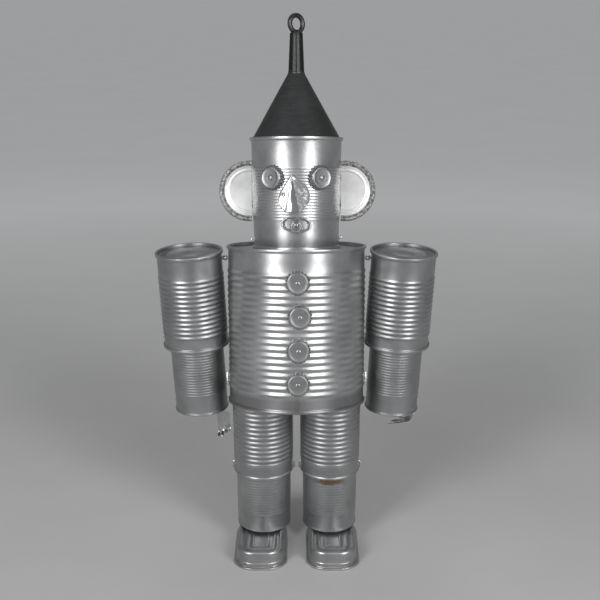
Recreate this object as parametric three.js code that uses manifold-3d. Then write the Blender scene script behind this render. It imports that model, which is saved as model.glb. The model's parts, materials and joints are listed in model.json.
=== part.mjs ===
// A jointed tin-can figure with a funnel hat: cans for the trunk, head and limbs, hung on wire pins,
// with bottle-cap eyes and buttons, a folded-tin nose, half-lid ears and sardine-tin feet.
// Millimetres, +Z up, the face looks along -Y. Side -1 is at low X and side +1 at high X.
import * as THREE from 'three';
import { mergeVertices } from 'three/addons/utils/BufferGeometryUtils.js';
import { ConvexGeometry } from 'three/addons/geometries/ConvexGeometry.js';
import Module from 'manifold-3d';

const wasm = await Module();
wasm.setup();

// ---------------------------------------------------------------- driving dimensions
const sheet = 0.35;              // wall of every can
const gap = 0.3;                 // air kept between pieces that touch
const wireGap = 0.35;            // radial play of a wire in its hole
const lean = 10;                 // degrees: the trunk leans back from the legs about the hip rod
const hipHeight = 199;           // hip rod above the table

const seamOut = 1.7;             // how far a double seam stands out from its wall
const seamIn = 1.2;              // how far it stands in
const seamHeight = 3.2;
const seamRamp = 0.8;            // height over which wall and seam blend
const endDepth = 3.6;            // end panel below its seam
const beadLift = 0.9;            // raised ring pressed into an end panel

const torsoRadius = 76.7;
const torsoHeight = 177.8;
const hipAboveBottom = 18;       // hip rod above the torso's lower edge

const headTopRadius = 50;
const headTaper = 2.7;           // the head's lower end is this much smaller in radius
const headBottomRadius = headTopRadius - headTaper;
const headHeight = 120.5;

const coneHeight = 70.3;         // funnel: cone, then a tapered spout
const coneTopRadius = 8.7;
const spoutTopRadius = 7;
const spoutLength = 41.4;
const funnelSheet = 0.5;
const funnelSink = 1.6;          // the cone's edge sits this far below the head's rim

const eyeRingRadius = 8.7;       // hanging eye, to the middle of its wire
const eyeRingWire = 2.6;         // radius of that wire
const eyeRingTurn = 38;          // degrees the eye is turned about the spout
const eyeRingLift = 9.6;         // its centre above the spout's mouth
const eyeNutRadius = 11;         // across the corners, halved
const eyeNutHeight = 7;
const eyeNutDrop = 6.4;          // top of the nut below the foot of the spout

const capFaceRadius = 11.6;      // crown caps: face, shoulder, crimped skirt
const capShoulderRadius = 13;
const capSkirtRadius = 14;
const capHeight = 6;
const capSheet = 0.4;
const capRivetRadius = 1.3;
const capRivetHead = 2.7;

const buttonTop = 34.9;          // first button below the torso's top
const buttonPitch = 36.5;
const buttonDrift = [1.5, 3.8, 2.4, 1.8];  // how far each button sits off the middle

const eyeHeight = 77.6;          // face features above the head's lower edge
const eyeAngle = 30.8;           // degrees from straight ahead
const eyeStandOff = 0.8;         // a cap's skirt off the head, which widens upwards
const noseHeight = 80;           // the nose's top corner
const noseOffset = -5;
const noseSize = 1;              // scales the outline and ridge below
const noseOutline = [             // across and down from the top corner
  [0, 0], [9.5, -5.5], [17, -12], [20, -20], [19, -29], [13.5, -35.5], [8, -37],
  [-7, -38], [-12.7, -33.5], [-15, -26], [-12.7, -18], [-7, -9],
];
const noseRidge = 10;            // how far its ridge stands out at the bottom
const noseFoot = -37.6;          // bottom of the ridge
const noseFootLeft = -7;
const noseFootRight = 8;
const noseCrest = -3.5;          // the ridge's edge, across from the top corner
const noseSheet = 0.5;
const noseStandOff = 1.1;        // its inner face off the round of the head
const noseRivetLeft = -8.6;
const noseRivetRight = 11.4;
const noseRivetDrop = 20.6;
const mouthHeight = 28;
const mouthLength = 32.7;
const mouthWidth = 18;
const mouthThickness = 1.5;
const mouthHoleReach = 10.8;
const mouthHoleX = 2.9;
const mouthHoleZ = 4.2;
const mouthRivetHead = 3.4;

const earHeight = 62.7;
const earRadius = 33.4;
const earCentreLeft = 2.9;       // centre of each lid's circle, out from the edge it was cut along
const earCentreRight = 5.1;
const earRimWidth = 4;
const earSheet = 0.6;
const earTabWidth = 8;
const earTabReach = 4;           // into the head
const earTabHeight = 14;         // each tab above or below the ear's middle

const neckWireHeight = 10.7;     // above the head's lower edge
const neckWireRadius = 1.1;
const neckWireEnd = 3;           // how far it comes out of the head
const neckTieHalf = 10;
const neckTieFoot = 7;
const neckTieDrop = 3;           // its feet below the torso's end panel

const armRadius = 36.5;
const armHeight = 110;
const elbowClearance = 6.1;      // forearm's wall inside the upper arm's
const forearmRadius = armRadius - elbowClearance;
const forearmHeight = 102;
const armClearance = 7.4;        // between the torso's wall and the arm's at shoulder height
const armX = torsoRadius + armClearance + armRadius;
const armSplay = 2.6;            // degrees: the arms close in downwards
const shoulderDrop = 14.4;       // shoulder wire below the torso's top
const armAboveShoulder = 8;      // top of the arm above the shoulder wire
const elbowAboveEdge = 9;        // elbow pin above the upper arm's open edge
const forearmAboveElbow = 13;
const wristAboveEdge = 10;
const shoulderWireRadius = 1.2;
const shoulderWireReach = 8;     // wire past each wall
const shoulderWireHook = 6;
const shoulderBeadRadius = 3.2;
const pinRadius = 1;             // knee, elbow and wrist pins
const armPinEnd = 0.9;           // stub of a pin outside its can, on the torso's side
const armPinOuterEnd = 2.2;

const handSheet = 0.6;
const handNeckWidth = 10;
const handPalmWidth = 16;
const handFingers = 4;
const handFingerGap = 1.1;
const handNeckLength = 17;       // from the pin to the top of the palm
const handPalmLength = 21;
const handFingerLength = 17;
const handCurl = 38;             // degrees each half finger bends forward
const flatHandInset = 14.4;      // inner edge of the flat hand in from the forearm's wall
const curledHandInset = 3;       // plate of the curled hand in from the forearm's wall
const curledHandDrop = 18;       // from the pin to where it curls in
const curledHandDepth = 31;      // lowest point below the pin
const curledHandLength = 30;     // how far it reaches back under the forearm

const thighRadius = 34.2;
const legClearance = 10;         // between the two thighs
const legX = thighRadius + legClearance / 2;
const thighHeight = 121;
const thighAboveHip = 14;
const kneeAboveEdge = 8.5;
const kneeClearance = 2.5;       // shin's wall inside the thigh's
const shinRadius = thighRadius - kneeClearance;
const shinAboveKnee = 8;
const beadWidth = 1.5;           // half width of a ring pressed in an end panel
const noseRivetRadius = 1;
const noseRivetHead = 1.9;
const forearmFlare = 1.1;        // how far a plain rim stands out from its wall
const thighFlare = 0.8;
const shinFlare = 0.5;
const hipRodRadius = 1.5;
const hipRodHook = 15;           // bent ends of the hip rod, up the torso's side
const kneePinHook = 8;

const footOut = 3;               // middle of the foot outside the leg's
const footHeight = 21.2;
const footLength = 112;
const footWidth = 62.4;
const footToe = 82;              // toe in front of the leg's middle
const footCorner = 24;
const footFlange = 1.8;          // flange at the open edge stands out this far
const footFlangeHeight = 2.4;
const footTaper = 1.6;           // the walls draw in this much to the top
const footSheet = 0.5;
const footPanelInset = 9;
const footPanelDrop = 2.6;
const boltRadius = 2.5;
const boltHeadRadius = 5;
const boltHeadHeight = 3.2;

const torsoColumns = 40;         // facets around each round piece
const headColumns = 36;
const limbColumns = 24;
const funnelColumns = 28;
const smallColumns = 20;
const wireSides = 8;
const holeSides = 12;

// ---------------------------------------------------------------- derived places
const torsoTop = torsoHeight - hipAboveBottom;           // above the hip rod, along the torso
const headBottom = torsoTop - endDepth + gap;
const headTop = headBottom + headHeight;
const coneBottom = headTop - funnelSink;
const coneTop = coneBottom + coneHeight;
const spoutTop = coneTop + spoutLength;
const curledHandReach = forearmRadius - curledHandInset;
const coneBaseRadius = headTopRadius - seamIn - gap - 0.1;
const shoulderHeight = torsoTop - shoulderDrop;
const kneeHeight = hipHeight + thighAboveHip - thighHeight + kneeAboveEdge;
const shinHeight = kneeHeight + shinAboveKnee - footHeight - gap;
const elbowZ = armAboveShoulder - armHeight + elbowAboveEdge;
const forearmBottom = elbowZ + forearmAboveElbow - forearmHeight;
const wristZ = forearmBottom + wristAboveEdge;
const headRadiusAt = (height) =>
  headBottomRadius + (headTopRadius - headBottomRadius) * height / headHeight;

// ---------------------------------------------------------------- materials
const paint = (color, roughness, metalness) =>
  new THREE.MeshStandardMaterial({ color, roughness, metalness });
const silverPaint = [0x9a9c9e, 0.38, 0.85];
const funnelPaint = [0x5b5d60, 0.42, 0.85];
const bareSteel = [0xc3c6c8, 0.28, 1];
const darkSteel = [0x3a3c3f, 0.4, 0.95];

// ---------------------------------------------------------------- helpers
// Merges shared corners, drops the slivers that meet on an axis, and turns the faces outward.
function closed(geometry) {
  const bare = geometry.index ? geometry.clone() : geometry;
  bare.deleteAttribute('normal');
  bare.deleteAttribute('uv');
  const merged = mergeVertices(bare, 1e-4);
  const position = merged.attributes.position;
  const corner = (i) => new THREE.Vector3().fromBufferAttribute(position, i);
  const index = merged.index.array;
  const kept = [];
  let volume = 0;
  for (let t = 0; t < index.length; t += 3) {
    const [a, b, c] = [index[t], index[t + 1], index[t + 2]];
    if (a !== b && b !== c && c !== a) {
      kept.push(a, b, c);
      volume += corner(a).dot(corner(b).cross(corner(c)));
    }
  }
  if (volume < 0) kept.reverse();
  merged.setIndex(kept);
  return merged;
}

function solid(geometry) {
  const merged = closed(geometry);
  return new wasm.Manifold(new wasm.Mesh({
    numProp: 3,
    vertProperties: new Float32Array(merged.attributes.position.array),
    triVerts: new Uint32Array(merged.index.array),
  }));
}

function shape(body) {
  const mesh = body.getMesh();
  const geometry = new THREE.BufferGeometry();
  geometry.setAttribute('position', new THREE.Float32BufferAttribute(mesh.vertProperties, 3));
  geometry.setIndex([...mesh.triVerts]);
  return geometry;
}

const cut = (geometry, ...tools) =>
  shape(tools.reduce((body, tool) => body.subtract(solid(tool)), solid(geometry)));
const join = (...pieces) => shape(pieces.map(solid).reduce((body, piece) => body.add(piece)));

// A named sub-part.
function piece(name, geometry, finish) {
  const mesh = new THREE.Mesh(closed(geometry), paint(...finish));
  mesh.name = name;
  mesh.geometry.computeVertexNormals();
  return mesh;
}

// Turns a profile of [radius, height] around Z.
function spin(profile, columns) {
  const points = profile.map(([radius, height]) => new THREE.Vector2(radius, height));
  return new THREE.LatheGeometry(points, columns).rotateX(Math.PI / 2);
}

const rodX = (radius, length, sides = wireSides) =>
  new THREE.CylinderGeometry(radius, radius, length, sides).rotateZ(Math.PI / 2);
const rodY = (radius, length, sides = wireSides) =>
  new THREE.CylinderGeometry(radius, radius, length, sides);
const rodZ = (radius, length, sides = wireSides) => rodY(radius, length, sides).rotateX(Math.PI / 2);
const box = (x, y, z) => new THREE.BoxGeometry(x, y, z);
// A faceted hole whose flats clear a wire of this radius.
const holeRadius = (radius) => (radius + wireGap) / Math.cos(Math.PI / holeSides);

// A wire's path: straight between its points, each station square to the mean direction.
class WirePath extends THREE.Curve {
  constructor(points) {
    super();
    this.points = points;
  }

  getPoint(t, target = new THREE.Vector3()) {
    const place = t * (this.points.length - 1);
    const i = Math.min(Math.floor(place + 1e-9), this.points.length - 2);
    return target.lerpVectors(this.points[i], this.points[i + 1], place - i);
  }

  getPointAt(u, target) {
    return this.getPoint(u, target);
  }

  getTangentAt(u, target = new THREE.Vector3()) {
    const i = Math.round(u * (this.points.length - 1));
    const before = this.points[Math.max(i - 1, 0)];
    const after = this.points[Math.min(i + 1, this.points.length - 1)];
    return target.subVectors(after, before).normalize();
  }
}

// A round wire through these corners, each corner bent to the given radius.
function wire(corners, radius, bend) {
  const points = [corners[0]];
  for (let i = 1; i < corners.length - 1; i += 1) {
    const start = corners[i].clone().add(corners[i - 1].clone().sub(corners[i]).setLength(bend));
    const end = corners[i].clone().add(corners[i + 1].clone().sub(corners[i]).setLength(bend));
    const arc = new THREE.QuadraticBezierCurve3(start, corners[i], end);
    points.push(...arc.getPoints(3));
  }
  points.push(corners[corners.length - 1]);
  const section = new THREE.Shape();
  section.absarc(0, 0, radius, 0, 2 * Math.PI);
  return new THREE.ExtrudeGeometry(section, {
    steps: points.length - 1,
    curveSegments: wireSides / 2,
    extrudePath: new WirePath(points),
  });
}

const vec = (x, y, z) => new THREE.Vector3(x, y, z);

// A can standing on z = 0. Its closed end is a recessed panel with one pressed ring.
function can({
  bottomRadius, topRadius, height, closedEnd, columns, ring, openSeam = seamOut, endSeam = seamOut,
}) {
  const inner = (radius) => radius - sheet;
  const panel = height - endDepth;
  const rim = topRadius - seamIn;
  const openEnd = [
    [bottomRadius, seamHeight + seamRamp],
    [bottomRadius + openSeam, seamHeight],
    [bottomRadius + openSeam, 0],
    [inner(bottomRadius), 0],
  ];
  const topSeam = [
    [topRadius + endSeam, height],
    [topRadius + endSeam, height - seamHeight],
    [topRadius, height - seamHeight - seamRamp],
  ];
  let profile;
  if (closedEnd === 'none') {
    profile = [[inner(topRadius), height], ...topSeam, ...openEnd, [inner(topRadius), height]];
  } else {
    const pressed = ring
      ? [[ring - beadWidth, panel + beadLift], [ring, panel + beadLift], [ring + beadWidth, panel]]
      : [];
    profile = [
      [0, panel + (ring ? beadLift : 0)],
      ...pressed,
      [rim - 0.4, panel],
      [rim, height],
      ...topSeam,
      ...openEnd,
      [inner(topRadius), panel - sheet],
      [0, panel - sheet],
    ];
  }
  if (closedEnd === 'bottom') profile = profile.map(([radius, z]) => [radius, height - z]);
  return spin(profile, columns);
}

// A crown cap standing on z = 0 with a hole for its rivet.
function crownCap() {
  const hole = capRivetRadius + wireGap;
  const waist = capHeight * 0.72;
  return spin([
    [hole, capHeight],
    [capFaceRadius, capHeight],
    [capShoulderRadius, waist],
    [capSkirtRadius, 0],
    [capSkirtRadius - capSheet, 0],
    [capFaceRadius - 0.2, capHeight - capSheet],
    [hole, capHeight - capSheet],
    [hole, capHeight],
  ], smallColumns);
}

// A rivet along +Z: its tail lies under the wall at z = 0, its domed head above z = reach.
function rivet(reach, shank, head) {
  const tailTop = -sheet - gap - 0.1;
  const headBase = reach + gap;
  return spin([
    [0, tailTop - 1.1],
    [head * 0.9, tailTop - 1.1],
    [head * 0.9, tailTop],
    [shank, tailTop],
    [shank, headBase],
    [head, headBase],
    [head * 0.7, headBase + 1],
    [0, headBase + 1.4],
  ], wireSides);
}

// Turns a piece built along +Z to stand on a round wall, angle from straight ahead towards +X.
function onWall(mesh, radius, angle, height) {
  mesh.rotation.set(Math.PI / 2, 0, angle, 'ZXY');
  mesh.position.set(radius * Math.sin(angle), -radius * Math.cos(angle), height);
  return mesh;
}

// The hole for a rivet at the same place on the wall.
function wallHole(shank, radius, angle, height) {
  const tool = rodY(holeRadius(shank), 12, holeSides);
  return tool.rotateZ(angle).translate(radius * Math.sin(angle), -radius * Math.cos(angle), height);
}

// Bends a flat piece (X across, Y towards the wall, Z up) around a wall of this radius.
function wrap(geometry, radius) {
  const position = geometry.attributes.position;
  for (let i = 0; i < position.count; i += 1) {
    const angle = position.getX(i) / radius;
    const reach = radius - position.getY(i);
    position.setX(i, reach * Math.sin(angle));
    position.setY(i, -reach * Math.cos(angle));
  }
  return geometry;
}

const radians = THREE.MathUtils.degToRad;
const sides = [[-1, 'l'], [1, 'r']];

// ---------------------------------------------------------------- torso, its lower end open
function torsoPieces() {
  const group = new THREE.Group();
  const shellBottom = -hipAboveBottom;
  const buttonSpots = buttonDrift.map((drift, i) =>
    [Math.asin(drift / torsoRadius), torsoTop - buttonTop - i * buttonPitch]);
  const tieHoles = [-1, 1].map((side) =>
    rodZ(holeRadius(neckWireRadius), 12, holeSides).translate(0, side * neckTieHalf, torsoTop - endDepth));
  const shell = can({
    bottomRadius: torsoRadius,
    topRadius: torsoRadius,
    height: torsoHeight,
    closedEnd: 'top',
    columns: torsoColumns,
    ring: 0,
  }).translate(0, 0, shellBottom);
  const holes = [
    rodX(holeRadius(hipRodRadius), 4 * torsoRadius, holeSides),
    rodX(holeRadius(shoulderWireRadius), 4 * torsoRadius, holeSides).translate(0, 0, shoulderHeight),
    ...tieHoles,
    ...buttonSpots.map(([angle, height]) => wallHole(capRivetRadius, torsoRadius, angle, height)),
  ];
  group.add(piece('torso_can', cut(shell, ...holes), silverPaint));
  buttonSpots.forEach(([angle, height], i) => {
    const cap = piece(`button_cap_${i + 1}`, crownCap(), silverPaint);
    group.add(onWall(cap, torsoRadius + gap, angle, height));
    const shank = rivet(capHeight + gap, capRivetRadius, capRivetHead);
    const stud = piece(`button_rivet_${i + 1}`, shank, bareSteel);
    group.add(onWall(stud, torsoRadius, angle, height));
  });
  group.add(piece('hip_rod', hipRod(), bareSteel));
  for (const [side, letter] of sides) {
    group.add(piece(`shoulder_wire_${letter}`, shoulderWire(side), bareSteel));
    const bead = cut(
      new THREE.SphereGeometry(shoulderBeadRadius, 10, 6),
      rodX(holeRadius(shoulderWireRadius), 4 * shoulderBeadRadius, holeSides),
    );
    const mesh = piece(`shoulder_bead_${letter}`, bead, bareSteel);
    mesh.position.set(side * (torsoRadius + gap + shoulderBeadRadius + 0.2), 0, shoulderHeight);
    group.add(mesh);
  }
  return group;
}

// The rod that both legs hang on: straight through the torso, its ends bent up outside.
function hipRod() {
  const out = torsoRadius + gap + hipRodRadius + 1.2;
  const end = vec(out - 0.3, 0, hipRodHook);
  return wire([
    vec(-end.x, 0, end.z),
    vec(-out, 0, 0),
    vec(out, 0, 0),
    end,
  ], hipRodRadius, 2.4);
}

// A short wire from inside the torso to inside the arm, hooked at both ends.
function shoulderWire(side) {
  const inside = side * (torsoRadius - shoulderWireReach);
  const outside = side * (armX - armRadius + shoulderWireReach);
  return wire([
    vec(inside, 0, -shoulderWireHook),
    vec(inside, 0, 0),
    vec(outside, 0, 0),
    vec(outside, 0, -shoulderWireHook),
  ], shoulderWireRadius, 1.9).translate(0, 0, shoulderHeight);
}

// ---------------------------------------------------------------- head, hat and face
function headPieces() {
  const group = new THREE.Group();
  const up = (height) => headBottom + height;
  const eyeWall = headRadiusAt(eyeHeight);
  const noseWall = headRadiusAt(noseHeight - noseRivetDrop);
  const mouthWall = headRadiusAt(mouthHeight);
  const eyeTurn = radians(eyeAngle);
  const noseTurn = noseOffset / noseWall;
  const noseRivetTurns = [noseRivetLeft, noseRivetRight].map((reach) => noseTurn + reach / noseWall);
  const noseRivetZ = up(noseHeight - noseRivetDrop);
  const noseReach = noseStandOff + noseSheet + gap;
  const earTabs = sides.flatMap(([side]) => [-1, 1].map((level) =>
    box(8, earSheet + 2 * gap, earTabWidth + 2 * gap)
      .translate(side * headRadiusAt(earHeight), 0, up(earHeight + level * earTabHeight))));
  const shell = can({
    bottomRadius: headTopRadius,
    topRadius: headBottomRadius,
    height: headHeight,
    closedEnd: 'bottom',
    columns: headColumns,
    ring: 0,
  }).translate(0, 0, headBottom);
  const rimRing = spin([
    [headTopRadius - seamIn, headTop],
    [headTopRadius, headTop],
    [headTopRadius, headTop - seamHeight],
    [headTopRadius - seamIn, headTop - seamHeight],
    [headTopRadius - seamIn, headTop],
  ], headColumns);
  const holes = [
    ...sides.map(([side]) => wallHole(capRivetRadius, eyeWall, side * eyeTurn, up(eyeHeight))),
    ...noseRivetTurns.map((turn) => wallHole(noseRivetRadius, noseWall, turn, noseRivetZ)),
    wallHole(capRivetRadius, mouthWall, 0, up(mouthHeight)),
    rodX(holeRadius(neckWireRadius), 4 * headTopRadius, holeSides).translate(0, 0, up(neckWireHeight)),
    ...[-1, 1].map((side) =>
      rodZ(holeRadius(neckWireRadius), 12, holeSides).translate(0, side * neckTieHalf, up(endDepth))),
    ...earTabs,
  ];
  group.add(piece('head_can', cut(join(shell, rimRing), ...holes), silverPaint));
  group.add(piece('neck_wire', neckWire().translate(0, 0, up(neckWireHeight)), bareSteel));
  group.add(piece('neck_tie', neckTie(), bareSteel));
  group.add(piece('funnel_hat', funnel(), funnelPaint));
  group.add(...hangingEye());
  for (const [side, letter] of sides) {
    const cap = piece(`eye_cap_${letter}`, crownCap(), silverPaint);
    group.add(onWall(cap, eyeWall + eyeStandOff, side * eyeTurn, up(eyeHeight)));
    const shank = rivet(capHeight + eyeStandOff, capRivetRadius, capRivetHead);
    const stud = piece(`eye_rivet_${letter}`, shank, bareSteel);
    group.add(onWall(stud, eyeWall, side * eyeTurn, up(eyeHeight)));
    const noseShank = rivet(noseReach, noseRivetRadius, noseRivetHead);
    const noseStud = piece(`nose_rivet_${letter}`, noseShank, bareSteel);
    group.add(onWall(noseStud, noseWall, noseRivetTurns[side < 0 ? 0 : 1], noseRivetZ));
    const ear = piece(`ear_${letter}`, halfLid(side < 0 ? earCentreLeft : earCentreRight), silverPaint);
    ear.rotation.y = side > 0 ? 0 : Math.PI;
    ear.position.z = up(earHeight);
    group.add(ear);
  }
  const nose = piece('nose', noseFold(noseWall + noseStandOff), silverPaint);
  nose.rotation.z = noseTurn;
  nose.position.z = up(noseHeight);
  group.add(nose);
  const mouth = piece('mouth_tab', mouthTab(), silverPaint);
  mouth.position.set(0, -mouthWall - gap, up(mouthHeight));
  group.add(mouth);
  const mouthShank = rivet(mouthThickness + gap, capRivetRadius, mouthRivetHead);
  const mouthStud = piece('mouth_rivet', mouthShank, bareSteel);
  group.add(onWall(mouthStud, mouthWall, 0, up(mouthHeight)));
  return group;
}

function neckWire() {
  const out = headBottomRadius + neckWireEnd;
  return wire([
    vec(-out, 0, -3),
    vec(-out, 0, 0),
    vec(out, 0, 0),
    vec(out, 0, 3),
  ], neckWireRadius, 1.6);
}

// A staple over the neck wire, down through both end panels, its feet bent out under the torso's.
function neckTie() {
  const bridge = headBottom + neckWireHeight + 2 * neckWireRadius + gap + 0.2;
  const foot = torsoTop - endDepth - neckTieDrop;
  return wire([
    vec(0, -neckTieHalf - neckTieFoot, foot),
    vec(0, -neckTieHalf, foot),
    vec(0, -neckTieHalf, bridge),
    vec(0, neckTieHalf, bridge),
    vec(0, neckTieHalf, foot),
    vec(0, neckTieHalf + neckTieFoot, foot),
  ], neckWireRadius, 1.9);
}

function funnel() {
  return spin([
    [coneBaseRadius, coneBottom],
    [coneTopRadius, coneTop],
    [spoutTopRadius, spoutTop],
    [spoutTopRadius - funnelSheet, spoutTop],
    [coneTopRadius - funnelSheet, coneTop - 0.3],
    [coneBaseRadius - funnelSheet - 0.3, coneBottom],
    [coneBaseRadius, coneBottom],
  ], funnelColumns);
}

// The eye and its shank, and the nut that holds it from inside the cone.
function hangingEye() {
  const nutTop = coneTop - eyeNutDrop;
  const centre = spoutTop + eyeRingLift;
  const shankBottom = nutTop - eyeNutHeight - 3;
  const shankTop = centre - eyeRingRadius;
  const ring = new THREE.TorusGeometry(eyeRingRadius, eyeRingWire, wireSides, 24)
    .rotateX(Math.PI / 2)
    .rotateZ(radians(eyeRingTurn))
    .translate(0, 0, centre);
  const shank = rodZ(eyeRingWire, shankTop - shankBottom, holeSides)
    .translate(0, 0, (shankTop + shankBottom) / 2);
  const nutHole = rodZ(holeRadius(eyeRingWire), 2 * eyeNutHeight, holeSides);
  const nut = cut(rodZ(eyeNutRadius, eyeNutHeight, 6), nutHole)
    .translate(0, 0, nutTop - eyeNutHeight / 2);
  return [piece('hanging_eye', join(ring, shank), darkSteel), piece('eye_nut', nut, darkSteel)];
}

// A piece of sheet folded down the middle: two flanges on the face and a ridge that opens downward.
function noseFold(radius) {
  const corners = noseOutline.map(([x, z]) => new THREE.Vector2(x * noseSize, z * noseSize));
  const flange = new THREE.ExtrudeGeometry(new THREE.Shape(corners), {
    depth: noseSheet,
    bevelEnabled: false,
  }).rotateX(Math.PI / 2);
  const foot = noseFoot * noseSize;
  const ridge = (back, drop) => new ConvexGeometry([
    vec(0, back, -1 + drop),
    vec(noseFootLeft * noseSize, back, foot + drop),
    vec(noseFootRight * noseSize, back, foot + drop),
    vec(noseCrest * noseSize, back - noseRidge, foot + drop),
  ]);
  const outside = join(flange, ridge(-noseSheet / 2, 0));
  const folded = cut(outside, ridge(noseSheet + 0.2, -0.6), ridge(noseSheet + 0.2, -4));
  const rivetHoles = [noseRivetLeft, noseRivetRight].map((reach) =>
    rodY(noseRivetRadius + wireGap, 12, holeSides).translate(reach, 0, -noseRivetDrop));
  return wrap(cut(folded, ...rivetHoles), radius);
}

// A pull-tab laid across the face: rounded ends, two finger holes and a rivet through the middle.
function mouthTab() {
  const outline = new THREE.Shape();
  const reach = (mouthLength - mouthWidth) / 2;
  outline.absarc(reach, 0, mouthWidth / 2, -Math.PI / 2, Math.PI / 2);
  outline.absarc(-reach, 0, mouthWidth / 2, Math.PI / 2, 3 * Math.PI / 2);
  for (const side of [-1, 1]) {
    const hole = new THREE.Path();
    hole.absellipse(side * mouthHoleReach, 0, mouthHoleX, mouthHoleZ, 0, 2 * Math.PI, true);
    outline.holes.push(hole);
  }
  const middle = new THREE.Path();
  middle.absarc(0, 0, capRivetRadius + wireGap, 0, 2 * Math.PI, true);
  outline.holes.push(middle);
  return new THREE.ExtrudeGeometry(outline, {
    depth: mouthThickness,
    bevelEnabled: false,
    curveSegments: 6,
  }).rotateX(Math.PI / 2);
}

// Half of a can lid with a crimped rim, standing out to +X, with two tabs into the head.
function halfLid(centreOut) {
  const inner = earRadius - earRimWidth;
  const edge = headRadiusAt(earHeight + earRadius) + gap;
  const half = earSheet / 2;
  const lid = spin([
    [0, half],
    [inner * 0.62, half],
    [inner * 0.68, half + 0.9],
    [inner * 0.9, half + 0.9],
    [inner, half],
    [inner + 1, half + 0.6],
    [earRadius, half + 0.2],
    [earRadius, -half],
    [inner, -half],
    [inner * 0.9, half + 0.3],
    [inner * 0.68, half + 0.3],
    [inner * 0.62, -half],
    [0, -half],
  ], 2 * smallColumns).rotateX(Math.PI / 2);
  const centre = edge + centreOut;
  const waste = box(2 * earRadius, 20, 4 * earRadius).translate(edge - earRadius, 0, 0);
  const halfDisc = cut(lid.translate(centre, 0, 0), waste);
  const wall = headRadiusAt(earHeight - earTabHeight);
  const tabLength = edge + 1 - wall + earTabReach;
  const tabs = [-1, 1].map((level) =>
    box(tabLength, earSheet, earTabWidth).translate(edge + 1 - tabLength / 2, 0, level * earTabHeight));
  return join(halfDisc, ...tabs);
}

// ---------------------------------------------------------------- arms, built about the shoulder wire
function armPieces(side, letter) {
  const group = new THREE.Group();
  const along = -side * radians(armSplay);
  const inwardHole = rodX(holeRadius(shoulderWireRadius), 2 * armRadius, holeSides)
    .translate(-side * armRadius, 0, 0)
    .rotateY(along);
  const upper = can({
    bottomRadius: armRadius,
    topRadius: armRadius,
    height: armHeight,
    closedEnd: 'top',
    columns: limbColumns,
    ring: armRadius * 0.7,
  }).translate(0, 0, armAboveShoulder - armHeight);
  const elbowHole = rodX(holeRadius(pinRadius), 4 * armRadius, holeSides).translate(0, 0, elbowZ);
  group.add(piece(`upper_arm_can_${letter}`, cut(upper, inwardHole, elbowHole), silverPaint));
  const lower = can({
    bottomRadius: forearmRadius,
    topRadius: forearmRadius,
    height: forearmHeight,
    closedEnd: 'none',
    columns: limbColumns,
    openSeam: forearmFlare,
  }).translate(0, 0, forearmBottom);
  const wristHole = rodX(holeRadius(pinRadius), 4 * armRadius, holeSides).translate(0, 0, wristZ);
  group.add(piece(`lower_arm_can_${letter}`, cut(lower, elbowHole, wristHole), silverPaint));
  group.add(piece(`elbow_pin_${letter}`, limbPin(side, armRadius, elbowZ), bareSteel));
  group.add(piece(`wrist_pin_${letter}`, limbPin(side, forearmRadius, wristZ), bareSteel));
  const hand = side < 0 ? flatHand() : curledHand();
  group.add(piece(`hand_${letter}`, hand.translate(0, 0, wristZ), silverPaint));
  return group;
}

// A straight pin through a can, nearly flush on the torso's side.
function limbPin(side, radius, height) {
  const inner = radius + armPinEnd;
  const outer = radius + armPinOuterEnd;
  return rodX(pinRadius, inner + outer).translate(side * (outer - inner) / 2, 0, height);
}

// A hand that faces forward: a loop on the pin, a palm, and fingers bent forward in two steps.
function flatHand() {
  const loopIn = pinRadius + wireGap;
  const loopOut = loopIn + handSheet;
  const middle = forearmRadius - flatHandInset + handNeckWidth / 2;
  const loopHole = rodX(holeRadius(pinRadius), 2 * handNeckWidth, holeSides);
  const loop = cut(rodX(loopOut, handNeckWidth, holeSides), loopHole);
  const neck = box(handNeckWidth, handSheet, handNeckLength - loopIn)
    .translate(0, 0, -(handNeckLength + loopIn) / 2);
  const palmCentre = (handPalmWidth - handNeckWidth) / 2;
  const palm = box(handPalmWidth, handSheet, handPalmLength + 1)
    .translate(palmCentre, 0, -handNeckLength - handPalmLength / 2);
  const fingerWidth = (handPalmWidth - (handFingers - 1) * handFingerGap) / handFingers;
  const half = handFingerLength / 2;
  const fingers = [];
  for (let i = 0; i < handFingers; i += 1) {
    const x = palmCentre - handPalmWidth / 2 + fingerWidth / 2 + i * (fingerWidth + handFingerGap);
    const start = -handNeckLength - handPalmLength + 0.4;
    const near = box(fingerWidth, handSheet, half + 0.6)
      .translate(0, 0, -half / 2)
      .rotateX(-radians(handCurl));
    const far = box(fingerWidth, handSheet, half)
      .translate(0, 0, -half / 2)
      .rotateX(-radians(2 * handCurl))
      .translate(0, -half * Math.sin(radians(handCurl)), -half * Math.cos(radians(handCurl)) + 0.2);
    fingers.push(near.translate(x, 0, start), far.translate(x, 0, start));
  }
  return join(loop, neck, palm, ...fingers).translate(middle, 0, 0);
}

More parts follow.
